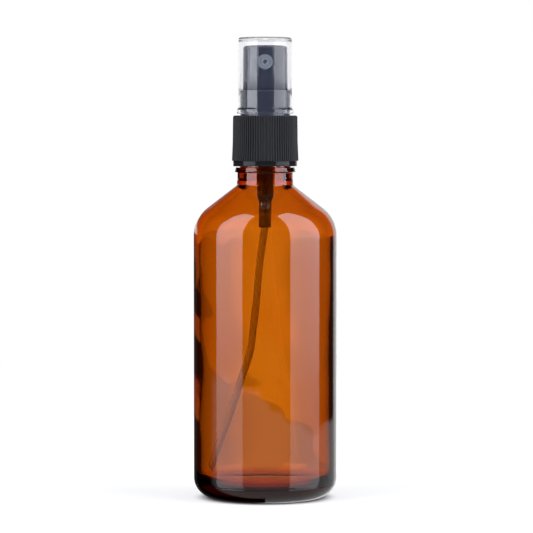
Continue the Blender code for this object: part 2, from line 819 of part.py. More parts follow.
def main():
    for old in list(bpy.data.objects):
        bpy.data.objects.remove(old)
    parts = new_collection("spray_bottle")
    cutters = new_collection("spray_bottle_cutters")
    materials = make_materials()
    for make, material_name in PIECES:
        finish(make(parts, cutters), materials[material_name])


main()
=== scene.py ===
"""The finished surfaces of an amber spray bottle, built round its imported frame.

Every turned piece comes from one Geometry Nodes tree, which turns a profile about Z and can add ribs,
a screw thread or the slow waves of blown glass. The springs and the dip tube come from trees that
follow a path.
"""

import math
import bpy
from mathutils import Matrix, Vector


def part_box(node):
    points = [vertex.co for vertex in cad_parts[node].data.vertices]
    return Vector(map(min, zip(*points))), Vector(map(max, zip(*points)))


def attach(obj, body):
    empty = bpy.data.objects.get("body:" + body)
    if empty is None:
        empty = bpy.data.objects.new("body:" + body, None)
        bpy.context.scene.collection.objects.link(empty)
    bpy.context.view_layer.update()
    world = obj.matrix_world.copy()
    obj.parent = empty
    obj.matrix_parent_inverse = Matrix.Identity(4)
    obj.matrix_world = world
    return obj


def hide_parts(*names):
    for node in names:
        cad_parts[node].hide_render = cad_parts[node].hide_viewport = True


bl_info = {
    "name": "Amber spray bottle",
    "version": (1, 0, 0),
    "blender": (4, 5, 0),
    "location": "View3D > Sidebar > Spray bottle",
    "description": "Builds the glass, closure, sprayer and studio of an amber spray bottle",
    "category": "Object",
}

import bmesh
import bpy
from bpy.props import FloatProperty, FloatVectorProperty, IntProperty, PointerProperty
from mathutils import Matrix, Vector

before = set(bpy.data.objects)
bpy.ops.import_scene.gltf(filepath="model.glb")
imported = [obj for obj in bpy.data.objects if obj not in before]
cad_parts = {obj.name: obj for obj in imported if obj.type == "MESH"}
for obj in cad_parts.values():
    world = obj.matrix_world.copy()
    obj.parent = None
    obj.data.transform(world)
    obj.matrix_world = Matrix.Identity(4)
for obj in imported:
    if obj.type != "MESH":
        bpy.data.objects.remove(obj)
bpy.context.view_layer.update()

MM = 0.001
WELD = 1e-7
SMOOTH_ANGLE = math.radians(32)
FILLET_STEPS = 6
SMALL_FACETS = 96
PLAIN_FACETS = 128
CLEAR_FACETS = 160
WHITE = (1, 1, 1, 1)
# A Mix node has its inputs for every type side by side. These are the places of the ones used here.
NUMBER_A = 2
NUMBER_B = 3
COLOUR_A = 6
COLOUR_B = 7
COLOUR_OUT = 2


def box_mm(node):
    """The lowest and highest corners of a node of the frame, in millimetres."""
    low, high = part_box(node)
    return low / MM, high / MM


def linear(code):
    """A six-digit sRGB hex colour as linear red, green, blue and alpha."""
    parts = [int(code[i : i + 2], 16) / 255 for i in (0, 2, 4)]
    return (*[p / 12.92 if p <= 0.04045 else ((p + 0.055) / 1.055) ** 2.4 for p in parts], 1.0)


def length(name, description, millimetres):
    """A length that the user can change, with its default in millimetres."""
    default = millimetres * MM
    return FloatProperty(name=name, description=description, default=default, unit="LENGTH", precision=5)


def colour(name, description, code):
    """A colour that the user can change."""
    default = linear(code)
    return FloatVectorProperty(
        name=name, description=description, default=default, size=4, min=0, max=1, subtype="COLOR"
    )


BOTTLE_HIGH = box_mm("bottle")[1]
COLLAR_LOW, COLLAR_HIGH = box_mm("closure_collar")
TURRET_LOW, TURRET_HIGH = box_mm("turret")
BUTTON_LOW, BUTTON_HIGH = box_mm("actuator_button")
NOZZLE_LOW, NOZZLE_HIGH = box_mm("nozzle_insert")
CAP_LOW, CAP_HIGH = box_mm("overcap")
HOUSING_LOW, HOUSING_HIGH = box_mm("pump_housing")
TUBE_HIGH = box_mm("dip_tube")[1]
RETURN_LOW, RETURN_HIGH = box_mm("return_spring")
SMALL_LOW, SMALL_HIGH = box_mm("precompression_spring")


# ---- settings -------------------------------------------------------------------------------------


class GlassSettings(bpy.types.PropertyGroup):
    """Sizes of the blown glass bottle."""

    radius: length("Body radius", "Outer radius of the straight wall", BOTTLE_HIGH.x)
    lip: length("Lip height", "Height of the lip over the base", BOTTLE_HIGH.z)
    wall: length("Wall", "Thickness of the glass", 2.1)
    heel: length("Heel", "Radius of the heel", 6.4)
    floor: length("Floor", "Height of the inside floor", 5.2)
    crown: length("Floor crown", "Rise of the inside floor at its middle", 0.9)
    corner: length("Inside corner", "Radius between the floor and the inside wall", 3.6)
    push_up: length("Push-up", "Radius of the hollow under the base", 13.8)
    push_up_depth: length("Push-up depth", "Depth of the hollow under the base", 1.4)
    shoulder_start: length("Shoulder start", "Height where the straight wall ends", 81.6)
    shoulder_radius: length("Shoulder radius", "Radius of the shoulder", 11.1)
    shoulder_slope: FloatProperty(
        name="Shoulder slope",
        description="Angle of the shoulder's cone over the horizontal",
        default=math.radians(37.4),
        subtype="ANGLE",
    )
    neck: length("Neck radius", "Outer radius of the neck", 8.62)
    root: length("Neck root", "Outer radius where the neck meets the shoulder", 8.75)
    root_top: length("Neck root top", "Height where the root narrows to the neck", 99.3)
    bead: length("Bead radius", "Radius of the bead's sharp lower edge", 9.5)
    bead_top_radius: length("Bead top radius", "Radius of the bead's upper edge", 9.15)
    bead_low: length("Bead bottom", "Height of the bead's underside", 101.45)
    bead_high: length("Bead top", "Height of the bead's upper edge", 102.95)
    finish: length("Finish radius", "Radius of the threaded mouth between its threads", 7.9)
    bore: length("Bore", "Radius of the mouth's bore", 5.7)
    thread_start: length("Thread start", "Height of the thread's lower end", 106.8)
    thread_rise: length("Thread height", "How far the thread stands out of the glass", 0.88)
    seam_height: length("Base seam", "Height of the mould's seam round the heel", 4.5)
    seam_rise: length("Seam rise", "How far the mould's seam stands out", 0.05)
    wave: length("Waves", "Height of the slow waves in the inside wall", 0.5)
    wave_size: length("Wave size", "Distance between the slow waves", 17.0)
    segments: IntProperty(name="Segments", description="Facets round the glass", default=176, min=24)


class ThreadSettings(bpy.types.PropertyGroup):
    """The screw thread that the glass and the closure share."""

    pitch: length("Pitch", "Rise of the thread in one turn", 3.175)
    turns: FloatProperty(name="Turns", description="Length of the thread in turns", default=1.3, min=0.5)
    drop: length("Drop", "How far the closure's thread lies under the glass thread", 1.35)
    closure_rise: length("Closure thread", "How far the closure's thread stands in", 0.95)


class ClosureSettings(bpy.types.PropertyGroup):
    """Sizes of the ribbed closure and the turret."""

    ribs: IntProperty(name="Ribs", description="Number of grip ribs", default=76, min=12)
    rib_depth: length("Rib depth", "Depth of the grooves between the ribs", 0.24)
    band_top: length("Band top", "Height where the plain band ends and the ribs begin", 105.0)
    band_radius: length("Band radius", "Radius of the plain band", 9.95)
    top_radius: length("Top radius", "Radius over the ribs at the top", 10.02)
    edge: length("Top edge", "Radius of the closure's top edge", 0.55)
    bore: length("Closure bore", "Radius inside the closure", 9.2)
    plate: length("Plate height", "Height of the top plate's underside", 117.9)
    hole: length("Plate hole", "Radius of the hole in the top plate", 7.95)
    turret: length("Turret radius", "Outer radius of the turret", 7.8)
    turret_bore: length("Turret bore", "Radius inside the turret", 7.15)
    turret_floor: length("Turret floor", "Height of the turret's floor", 117.75)
    turret_hole: length("Turret hole", "Radius of the stem's hole in the turret", 2.3)


class SprayerSettings(bpy.types.PropertyGroup):
    """Sizes of the button, the nozzle, the overcap, the housing and the dip tube."""

    button_top_radius: length("Button top radius", "Radius at the top of the button", 6.85)
    button_wall: length("Button wall", "Thickness of the button's skirt", 1.0)
    button_ceiling: length("Button ceiling", "Height of the ceiling inside the button", 139.3)
    button_edge: length("Button edge", "Radius of the button's top edge", 0.9)
    button_dish: length("Button dish", "Depth of the finger dish", 0.4)
    boss: length("Boss", "Radius of the stem's boss in the button", 3.1)
    boss_low: length("Boss bottom", "Height of the boss's lower end", 125.0)
    socket: length("Stem socket", "Radius of the stem's socket", 2.0)
    socket_top: length("Socket top", "Height of the top of the socket", 133.2)
    feed: length("Feed bore", "Radius of the feed bore over the socket", 0.8)
    feed_top: length("Feed top", "Height of the top of the feed bore", 138.0)
    well: length("Nozzle well", "Radius of the nozzle's well", 2.45)
    well_floor: length("Well floor", "Distance from the axis to the well's floor", 3.5)
    post: length("Post", "Radius of the swirl post in the well", 1.3)
    post_end: length("Post end", "Distance from the axis to the post's end", 5.7)
    orifice: length("Orifice", "Radius of the spray orifice", 0.25)
    cap_mouth: length("Cap mouth", "Radius inside the overcap's mouth", 7.93)
    cap_bore: length("Cap bore", "Radius inside the overcap over its step", 7.6)
    cap_step: length("Cap step", "Height of the step inside the overcap", 127.3)
    cap_ceiling: length("Cap ceiling", "Height of the ceiling inside the overcap", 142.3)
    cap_radius: length("Cap radius", "Outer radius of the overcap", 8.38)
    cap_bead_top: length("Cap bead", "Height of the bead round the overcap's mouth", 121.4)
    tube: length("Tube radius", "Outer radius of the dip tube", TUBE_HIGH.y)
    tube_wall: length("Tube wall", "Wall of the dip tube", 0.45)


class StudioSettings(bpy.types.PropertyGroup):
    """The stage, the lights and the camera."""

    floor_colour: colour("Floor", "Colour of the pale floor", "8e8e90")
    floor_radius: length("Floor radius", "Radius of the floor disc", 520)
    backdrop: FloatProperty(name="Backdrop", description="Strength of the white backdrop", default=1.0)
    softbox: FloatProperty(name="Softboxes", description="Radiance of the softboxes", default=2.9)
    softbox_colour: FloatVectorProperty(
        name="Softbox colour",
        description="Colour of the softboxes",
        default=(0.86, 0.92, 1.0),
        subtype="COLOR",
    )
    camera_distance: length("Camera distance", "Distance from the bottle's axis", 885)
    camera_height: length("Camera height", "Height over the floor", 111.4)
    aim_height: length("Aim height", "Height of the point the camera looks at", 72.07)
    aim_side: length("Aim side", "How far the camera stands to the right of the axis", 0.4)
    lens: FloatProperty(name="Lens", description="Focal length", default=192.0, subtype="DISTANCE_CAMERA")


# ---- trees ----------------------------------------------------------------------------------------


def add(tree, kind, inputs=None, **settings):
    """Adds a node with its settings. Each input takes a value, a socket, or a node's first output."""
    node = tree.nodes.new(kind)
    for key, value in settings.items():
        setattr(node, key, value)
    for key, value in (inputs or {}).items():
        if isinstance(value, bpy.types.Node):
            value = value.outputs[0]
        if isinstance(value, bpy.types.NodeSocket):
            tree.links.new(value, node.inputs[key])
        else:
            node.inputs[key].default_value = value
    return node


def work_out(tree, made, rows):
    """Adds a node for each row (name, operation, values) and keeps it in made under its name. A value is a
    number, or the name of something in made. FADE and RAMP take a value, a range from and a range to,
    MIX takes a share and two numbers, and any other operation is that of a Math node."""
    ranges = {"FADE": "SMOOTHSTEP", "RAMP": "LINEAR"}
    for name, operation, *values in rows:
        values = [made[value] if isinstance(value, str) else value for value in values]
        if operation in ranges:
            inputs = dict(zip(("Value", "From Min", "From Max", "To Min", "To Max"), values))
            made[name] = add(tree, "ShaderNodeMapRange", inputs, interpolation_type=ranges[operation])
        elif operation == "MIX":
            inputs = dict(zip((0, NUMBER_A, NUMBER_B), values))
            made[name] = add(tree, "ShaderNodeMix", inputs, data_type="FLOAT")
        else:
            made[name] = add(tree, "ShaderNodeMath", dict(enumerate(values)), operation=operation)


def new_tree(name, inputs):
    """A geometry tree with these named inputs, and its group input node."""
    tree = bpy.data.node_groups.new(name, "GeometryNodeTree")
    for label, kind in inputs:
        tree.interface.new_socket(label, in_out="INPUT", socket_type="NodeSocket" + kind)
    tree.interface.new_socket("Geometry", in_out="OUTPUT", socket_type="NodeSocketGeometry")
    return tree, add(tree, "NodeGroupInput").outputs


def close_tree(tree, geometry, material):
    """Ends a tree with its instances made real and its material set."""
    real = add(tree, "GeometryNodeRealizeInstances", {"Geometry": geometry})
    painted = add(tree, "GeometryNodeSetMaterial", {"Geometry": real, "Material": material})
    add(tree, "NodeGroupOutput", {"Geometry": painted})
    return tree


def turning_tree():
    """Turns a profile, X out and Z up, about Z, with ribs, a thread and waves where its points say."""
    tree, given = new_tree(
        "Turned piece",
        [
            ("Profile", "Geometry"),
            ("Segments", "Int"),
            ("Ribs", "Int"),
            ("Rib depth", "Float"),
            ("Thread pitch", "Float"),
            ("Thread start", "Float"),
            ("Thread turns", "Float"),
            ("Thread rise", "Float"),
            ("Wave height", "Float"),
            ("Wave size", "Float"),
            ("Seed", "Float"),
            ("Material", "Material"),
        ],
    )
    profile = given["Profile"]
    size = add(tree, "GeometryNodeAttributeDomainSize", {"Geometry": profile}, component="MESH")
    rows = size.outputs["Point Count"]
    columns = add(tree, "FunctionNodeIntegerMath", {0: given["Segments"], 1: 1}, operation="ADD")
    grid = add(tree, "GeometryNodeMeshGrid", {"Vertices X": columns, "Vertices Y": rows})
    index = add(tree, "GeometryNodeInputIndex")
    row = add(tree, "FunctionNodeIntegerMath", {0: index, 1: rows}, operation="MODULO")
    column = add(tree, "FunctionNodeIntegerMath", {0: index, 1: rows}, operation="DIVIDE_FLOOR")
    place = add(
        tree,
        "GeometryNodeSampleIndex",
        {"Geometry": profile, "Value": add(tree, "GeometryNodeInputPosition"), "Index": row},
        data_type="FLOAT_VECTOR",
    )
    corner = add(tree, "ShaderNodeSeparateXYZ", {0: place})
    made = {socket.name: socket for socket in given}
    for mark in ("rib", "thread", "wave"):
        named = add(tree, "GeometryNodeInputNamedAttribute", {"Name": mark}, data_type="FLOAT")
        made[mark] = add(
            tree,
            "GeometryNodeSampleIndex",
            {"Geometry": profile, "Value": named, "Index": row},
            data_type="FLOAT",
        )
    made["column"] = column
    made["radius"] = corner.outputs["X"]
    made["height"] = corner.outputs["Z"]
    rows = (
        ("turn", "DIVIDE", "column", "Segments"),
        ("angle", "MULTIPLY", "turn", 2 * math.pi),
        ("cosine", "COSINE", "angle"),
        ("sine", "SINE", "angle"),
        # Ribs: round crests and sharp grooves, cut inwards from the profile.
        ("half turn", "MULTIPLY", "turn", math.pi),
        ("rib angle", "MULTIPLY", "half turn", "Ribs"),
        ("swing", "COSINE", "rib angle"),
        ("crest", "ABSOLUTE", "swing"),
        ("crest", "POWER", "crest", 0.7),
        ("groove", "SUBTRACT", "crest", 1.0),
        ("groove", "MULTIPLY", "groove", "Rib depth"),
        ("groove", "MULTIPLY", "groove", "rib"),
        # Thread: the nearest turn of the helix, a flank on each side of it, and run-outs at its ends.
        ("climb", "SUBTRACT", "height", "Thread start"),
        ("climb", "DIVIDE", "climb", "Thread pitch"),
        ("front turn", "ADD", "turn", 0.25),
        ("beyond", "SUBTRACT", "climb", "front turn"),
        ("whole", "ROUND", "beyond"),
        ("off", "SUBTRACT", "beyond", "whole"),
        ("off", "MULTIPLY", "off", "Thread pitch"),
        ("off", "ABSOLUTE", "off"),
        ("flank", "FADE", "off", 0.85 * MM, 0.4 * MM, 0.0, 1.0),
        ("along", "ADD", "front turn", "whole"),
        ("left", "SUBTRACT", "Thread turns", "along"),
        ("nearest end", "MINIMUM", "along", "left"),
        ("run-out", "FADE", "nearest end", 0.0, 0.12, 0.0, 1.0),
        ("ridge", "MULTIPLY", "flank", "run-out"),
        ("ridge", "MULTIPLY", "ridge", "Thread rise"),
        ("ridge", "MULTIPLY", "ridge", "thread"),
        ("wave scale", "DIVIDE", 1.0, "Wave size"),
    )
    work_out(tree, made, rows)
    # Waves: slow unevenness of a wall that no mould touched.
    flat = add(tree, "ShaderNodeCombineXYZ", {"X": made["cosine"], "Y": made["sine"]})
    spoke = add(tree, "ShaderNodeVectorMath", {0: flat, "Scale": made["radius"]}, operation="SCALE")
    rise = add(tree, "ShaderNodeCombineXYZ", {"Z": made["height"]})
    wavy = {
        "Vector": add(tree, "ShaderNodeVectorMath", {0: spoke, 1: rise}, operation="ADD"),
        "W": given["Seed"],
        "Scale": made["wave scale"],
        "Detail": 1.0,
        "Roughness": 0.4,
    }
    made["noise"] = add(tree, "ShaderNodeTexNoise", wavy, noise_dimensions="4D")
    rows = (
        ("swell", "SUBTRACT", "noise", 0.5),
        ("swell", "MULTIPLY", "swell", "Wave height"),
        ("swell", "MULTIPLY", "swell", "wave"),
        ("out", "ADD", "radius", "groove"),
        ("out", "ADD", "out", "ridge"),
        ("out", "ADD", "out", "swell"),
    )
    work_out(tree, made, rows)
    spoke = add(tree, "ShaderNodeVectorMath", {0: flat, "Scale": made["out"]}, operation="SCALE")
    place = add(tree, "ShaderNodeVectorMath", {0: spoke, 1: rise}, operation="ADD")
    moved = add(tree, "GeometryNodeSetPosition", {"Geometry": grid.outputs["Mesh"], "Position": place})
    welded = add(tree, "GeometryNodeMergeByDistance", {"Geometry": moved, "Distance": WELD})
    return close_tree(tree, welded, given["Material"])


def coil_tree():
    """A compression spring with one closed turn at each end, as round wire along a helix."""
    tree, given = new_tree(
        "Coil spring",
        [
            ("Geometry", "Geometry"),
            ("Turns", "Float"),
            ("Coil radius", "Float"),
            ("Wire radius", "Float"),
            ("Bottom", "Float"),
            ("Top", "Float"),
            ("Material", "Material"),
        ],
    )
    line = {
        "Resolution": 28,
        "Rotations": given["Turns"],
        "Start Radius": given["Coil radius"],
        "End Radius": given["Coil radius"],
        "Height": 1.0,
    }
    spiral = add(tree, "GeometryNodeCurveSpiral", line)
    made = {socket.name: socket for socket in given}
    made["factor"] = add(tree, "GeometryNodeSplineParameter").outputs["Factor"]
    rows = (
        ("turn", "MULTIPLY", "factor", "Turns"),
        # A closed turn rises a little more than the wire is thick.
        ("closed", "MULTIPLY", "Wire radius", 2.15),
        ("low", "ADD", "Bottom", "Wire radius"),
        ("high", "SUBTRACT", "Top", "Wire radius"),
        ("tall", "SUBTRACT", "high", "low"),
        ("both", "MULTIPLY", "closed", 2.0),
        ("free", "SUBTRACT", "tall", "both"),
        ("last", "SUBTRACT", "Turns", 1.0),
        ("first share", "RAMP", "turn", 0.0, 1.0, 0.0, 1.0),
        ("last share", "RAMP", "turn", "last", "Turns", 0.0, 1.0),
        ("free share", "RAMP", "turn", 1.0, "last", 0.0, 1.0),
        ("ends", "ADD", "first share", "last share"),
        ("ends", "MULTIPLY", "ends", "closed"),
        ("middle", "MULTIPLY", "free share", "free"),
        ("height", "ADD", "low", "ends"),
        ("height", "ADD", "height", "middle"),
    )
    work_out(tree, made, rows)
    at = add(tree, "ShaderNodeSeparateXYZ", {0: add(tree, "GeometryNodeInputPosition")})
    corner = {"X": at.outputs["X"], "Y": at.outputs["Y"], "Z": made["height"]}
    place = add(tree, "ShaderNodeCombineXYZ", corner)
    moved = add(tree, "GeometryNodeSetPosition", {"Geometry": spiral, "Position": place})
    ring = {"Resolution": 12, "Radius": given["Wire radius"]}
    section = add(tree, "GeometryNodeCurvePrimitiveCircle", ring)
    tube = add(
        tree,
        "GeometryNodeCurveToMesh",
        {"Curve": moved, "Profile Curve": section.outputs["Curve"], "Fill Caps": True},
    )
    return close_tree(tree, tube, given["Material"])


def tube_tree():
    """An open tube of even section along the curve that carries the modifier."""
    tree, given = new_tree(
        "Tube on a path",
        [("Path", "Geometry"), ("Radius", "Float"), ("Step", "Float"), ("Material", "Material")],
    )
    even = add(
        tree, "GeometryNodeResampleCurve", {"Curve": given["Path"], "Length": given["Step"]}, mode="LENGTH"
    )
    section = add(tree, "GeometryNodeCurvePrimitiveCircle", {"Resolution": 32, "Radius": given["Radius"]})
    tube = add(
        tree, "GeometryNodeCurveToMesh", {"Curve": even, "Profile Curve": section.outputs["Curve"]}
    )
    return close_tree(tree, tube, given["Material"])


def tree_for(build, name):
    """The tree of this name, built on its first use."""
    return bpy.data.node_groups.get(name) or build()


def set_inputs(modifier, values):
    """Sets a modifier's inputs by their names, through their sockets' identifiers."""
    for item in modifier.node_group.interface.items_tree:
        if item.item_type == "SOCKET" and item.in_out == "INPUT" and item.name in values:
            modifier[item.identifier] = values[item.name]


# ---- shapes ---------------------------------------------------------------------------------------


def arc(centre, radius, start, end, steps):
    """Points of an arc about centre, from one angle to the other, both ends included."""
    angles = [start + (end - start) * i / steps for i in range(steps + 1)]
    return [(centre[0] + radius * math.cos(a), centre[1] + radius * math.sin(a)) for a in angles]


def fillet(before, corner, after, radius):
    """The arc of this radius that rounds the corner between two straight runs."""
    point = Vector(corner[:2])
    back = (Vector(before[:2]) - point).normalized()
    ahead = (Vector(after[:2]) - point).normalized()
    half = back.angle(ahead) / 2
    centre = point + (back + ahead).normalized() * (radius / math.sin(half))
    first = point + back * (radius / math.tan(half)) - centre
    last = point + ahead * (radius / math.tan(half)) - centre
    start = math.atan2(first.y, first.x)
    sweep = (math.atan2(last.y, last.x) - start + math.pi) % (2 * math.pi) - math.pi
    return arc(centre, radius, start, start + sweep, FILLET_STEPS)


def rounded(corners):
    """The outline through corners (radius, height), or (radius, height, fillet) for a rounded one."""
    points = []
    for i, corner in enumerate(corners):
        if len(corner) == 3:
            points += fillet(corners[i - 1], corner, corners[(i + 1) % len(corners)], corner[2])
        else:
            points.append(corner)
    return points


def stepped(points, step):
    """The same outline with its long runs split into pieces no longer than step."""
    found = [points[0]]
    for start, end in zip(points, points[1:]):
        count = max(1, math.ceil(math.dist(start, end) / step))
        found += [
            (start[0] + (end[0] - start[0]) * i / count, start[1] + (end[1] - start[1]) * i / count)
            for i in range(1, count + 1)
        ]
    return found


def marked(points, **shares):
    """Gives each point its shares of the rib, thread and wave, each a number or a function of height."""
    return [(r, z, {k: s(z) if callable(s) else s for k, s in shares.items()}) for r, z in points]


def plain_piece(source, name):
    """Replaces an object with modifiers by a plain mesh of its evaluated shape, closed and facing out."""
    graph = bpy.context.evaluated_depsgraph_get()
    mesh = bpy.data.meshes.new_from_object(source.evaluated_get(graph))
    bpy.data.objects.remove(source)
    shape = bmesh.new()
    shape.from_mesh(mesh)
    bmesh.ops.remove_doubles(shape, verts=shape.verts, dist=WELD)
    bmesh.ops.recalc_face_normals(shape, faces=shape.faces)
    shape.to_mesh(mesh)
    shape.free()
    mesh.name = name
    mesh.shade_smooth()
    mesh.set_sharp_from_angle(angle=SMOOTH_ANGLE)
    piece = bpy.data.objects.new(name, mesh)
    bpy.context.scene.collection.objects.link(piece)
    return piece


def turned(name, rows, material, segments, closed=False, **inputs):
    """A piece turned about Z from rows in millimetres: (radius, height) or (radius, height, shares)."""
    rows = [row if len(row) == 3 else (*row, {}) for row in rows]
    if closed:
        rows.append(rows[0])
    mesh = bpy.data.meshes.new(name)
    mesh.from_pydata([(r * MM, 0, z * MM) for r, z, _ in rows], [], [])
    for key in ("rib", "thread", "wave"):
        values = mesh.attributes.new(key, "FLOAT", "POINT")
        values.data.foreach_set("value", [row[2].get(key, 0.0) for row in rows])
    source = bpy.data.objects.new(name, mesh)
    bpy.context.scene.collection.objects.link(source)
    modifier = source.modifiers.new("Turn", "NODES")
    modifier.node_group = tree_for(turning_tree, "Turned piece")
    values = {"Segments": segments, "Thread pitch": 1.0, "Wave size": 1.0, "Material": material}
    values.update({key.replace("_", " ").capitalize(): value for key, value in inputs.items()})
    set_inputs(modifier, values)
    return plain_piece(source, name)


def rod_mesh(name, radius, start, end, segments=48):
    """A plain cylinder between two points in millimetres, as an operand for a Boolean."""
    first = Vector(start) * MM
    last = Vector(end) * MM
    turn = (last - first).to_track_quat("Z", "Y").to_matrix().to_4x4()
    place = Matrix.Translation((first + last) / 2) @ turn
    mesh = bpy.data.meshes.new(name)
    shape = bmesh.new()
    bmesh.ops.create_cone(
        shape,
        cap_ends=True,
        segments=segments,
        radius1=radius * MM,
        radius2=radius * MM,
        depth=(last - first).length,
        matrix=place,
    )
    shape.to_mesh(mesh)
    shape.free()
    made = bpy.data.objects.new(name, mesh)
    bpy.context.scene.collection.objects.link(made)
    return made


def combined(piece, others, name):
    """The piece with each (other, operation) applied in turn. The others are removed."""
    for other, operation in others:
        boolean = piece.modifiers.new(other.name, "BOOLEAN")
        boolean.operation = operation
        boolean.object = other
    made = plain_piece(piece, name)
    for other, _ in others:
        bpy.data.objects.remove(other)
    return made


def laid_forward(piece, height):
    """Turns a piece from the Z axis to the nozzle's axis, in its mesh, so that its top faces the front."""
    place = Matrix.Translation((0, 0, height * MM)) @ Matrix.Rotation(math.pi / 2, 4, "X")
    piece.data.transform(place)
    return piece


def settle(piece, body, slot, *nodes):
    """Puts a finished piece on its body, in place of nodes of the frame. The slot is not used."""
    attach(piece, body)
    if nodes:
        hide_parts(*nodes)


def dress(node, material):
    """Gives a node of the frame its material."""
    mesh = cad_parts[node].data
    mesh.materials.clear()
    mesh.materials.append(material)


# ---- materials ------------------------------------------------------------------------------------


def new_material(name):
    """An empty material with its tree."""
    material = bpy.data.materials.new(name)
    material.use_nodes = True
    material.node_tree.nodes.clear()
    return material, material.node_tree


def grain(tree, size, strength, depth, detail=3.0):
    """A bump of this grain size and depth in millimetres, on object coordinates."""
    where = add(tree, "ShaderNodeTexCoord").outputs["Object"]
    noise = add(tree, "ShaderNodeTexNoise", {"Vector": where, "Scale": 1 / (size * MM), "Detail": detail})
    return add(tree, "ShaderNodeBump", {"Strength": strength, "Distance": depth * MM, "Height": noise})


def amber_glass():
    """Amber soda-lime glass, blown in a mould: clear, with iron and sulphur colour through its depth."""
    material, tree = new_material("amber_glass_blown")
    ripple = grain(tree, 9.0, 0.35, 0.05, 1.0)
    # Blown glass is thicker at the shoulder, the neck and the foot. A tint stands in for that here,
    # because the modelled wall is almost even.
    where = add(tree, "ShaderNodeTexCoord").outputs["Object"]
    made = {"height": add(tree, "ShaderNodeSeparateXYZ", {0: where}).outputs["Z"]}
    rows = (
        ("upper", "FADE", "height", 82 * MM, 92 * MM, 1.0, 0.91),
        ("foot", "FADE", "height", 4.5 * MM, 7.5 * MM, 0.7, 1.0),
        ("clear", "MULTIPLY", "upper", "foot"),
    )
    work_out(tree, made, rows)
    surface = add(
        tree,
        "ShaderNodeBsdfPrincipled",
        {
            "Base Color": made["clear"],
            "Roughness": 0.0,
            "IOR": 1.52,
            "Transmission Weight": 1.0,
            "Normal": ripple,
        },
    )
    # The colour is what one metre passes. Red passes best, green less, and blue hardly at all.
    depth = add(tree, "ShaderNodeVolumeAbsorption", {"Color": (0.926, 0.665, 0.004, 1), "Density": 1335.0})
    add(tree, "ShaderNodeOutputMaterial", {"Surface": surface, "Volume": depth})
    return material


def clear_polypropylene():
    """Clarified polypropylene, injection moulded: water-clear, with a soft bright gloss. Its IOR is set
    under the usual 1.49, so that the thin wall's outline stays as faint as the real one's."""
    material, tree = new_material("clarified_polypropylene_moulded")
    ripple = grain(tree, 12.0, 0.15, 0.01, 1.0)
    surface = add(
        tree,
        "ShaderNodeBsdfPrincipled",
        {
            "Base Color": linear("fcfdff"),
            "Roughness": 0.01,
            "IOR": 1.3,
            "Transmission Weight": 1.0,
            "Normal": ripple,
        },
    )
    add(tree, "ShaderNodeOutputMaterial", {"Surface": surface})
    return material


def moulded_plastic(name, code, dark_code, roughness, spread, grain_size, grain_depth, **sockets):
    """A moulded plastic with slight variation of colour and gloss, and the fine grain of its mould."""
    material, tree = new_material(name)
    where = add(tree, "ShaderNodeTexCoord").outputs["Object"]
    clouds = add(tree, "ShaderNodeTexNoise", {"Vector": where, "Scale": 1 / (4 * MM), "Detail": 4.0})
    colours = {0: clouds, COLOUR_A: linear(dark_code), COLOUR_B: linear(code)}
    tone = add(tree, "ShaderNodeMix", colours, data_type="RGBA").outputs[COLOUR_OUT]
    range_to = {"Value": clouds, "To Min": roughness - spread, "To Max": roughness + spread}
    gloss = add(tree, "ShaderNodeMapRange", range_to)
    bump = grain(tree, grain_size, 0.5, grain_depth)
    values = {"Base Color": tone, "Roughness": gloss, "Normal": bump, "IOR": 1.49}
    values.update({key.replace("_", " "): value for key, value in sockets.items()})
    surface = add(tree, "ShaderNodeBsdfPrincipled", values)
    add(tree, "ShaderNodeOutputMaterial", {"Surface": surface})
    return material


def ribbed_black(sizes):
    """Black polypropylene from a spark-eroded mould: a soft satin, with a polished band at its foot."""
    material = moulded_plastic(
        "black_polypropylene_satin", "18171b", "121114", 0.4, 0.05, 0.12, 0.01, Specular_IOR_Level=0.2
    )
    tree = material.node_tree
    surface = tree.nodes["Principled BSDF"]
    where = add(tree, "ShaderNodeTexCoord").outputs["Object"]
    height = add(tree, "ShaderNodeSeparateXYZ", {0: where}).outputs["Z"]
    top = sizes.band_top
    edge = {"Value": height, "From Min": top - 0.1 * MM, "From Max": top + 0.1 * MM}
    satin = add(tree, "ShaderNodeMapRange", edge)
    rough = surface.inputs["Roughness"].links[0].from_socket
    polished = 0.1
    mixed = add(tree, "ShaderNodeMix", {0: satin, NUMBER_A: polished, NUMBER_B: rough}, data_type="FLOAT")
    tree.links.new(mixed.outputs[0], surface.inputs["Roughness"])
    return material


def gloss_black():
    """Slate-black polypropylene from a polished mould: deep, a little blue, with crisp reflections."""
    return moulded_plastic("slate_polypropylene_polished", "434759", "3d4152", 0.1, 0.02, 0.6, 0.002)


def grey_acetal(height, orifice):
    """Grey acetal, moulded: hard and smooth, with a low sheen. A dark tint round the orifice, painted shade
    that stands in for the shade inside the hole, makes it show, because the hole alone is too fine."""
    material = moulded_plastic("grey_acetal_moulded", "8f96a6", "858c9c", 0.3, 0.04, 0.3, 0.004)
    tree = material.node_tree
    surface = tree.nodes["Principled BSDF"]
    where = add(tree, "ShaderNodeTexCoord").outputs["Object"]
    at = add(tree, "ShaderNodeSeparateXYZ", {0: where}).outputs
    up = add(tree, "ShaderNodeMath", {0: at["Z"], 1: height}, operation="SUBTRACT")
    across = add(tree, "ShaderNodeCombineXYZ", {"X": at["X"], "Y": up})
    away = add(tree, "ShaderNodeVectorMath", {0: across}, operation="LENGTH").outputs["Value"]
    # Painted shade: near black out to 1.8 times the orifice's radius from the nozzle's axis, fading into the
    # plain grey by 2.6 times.
    depth = {"Value": away, "From Min": orifice * 1.8, "From Max": orifice * 2.6, "To Max": 1.0}
    shade = add(tree, "ShaderNodeMapRange", depth)
    colour_link = surface.inputs["Base Color"].links[0].from_socket
    colours = {0: shade, COLOUR_A: linear("050506"), COLOUR_B: colour_link}
    tone = add(tree, "ShaderNodeMix", colours, data_type="RGBA").outputs[COLOUR_OUT]
    tree.links.new(tone, surface.inputs["Base Color"])
    return material


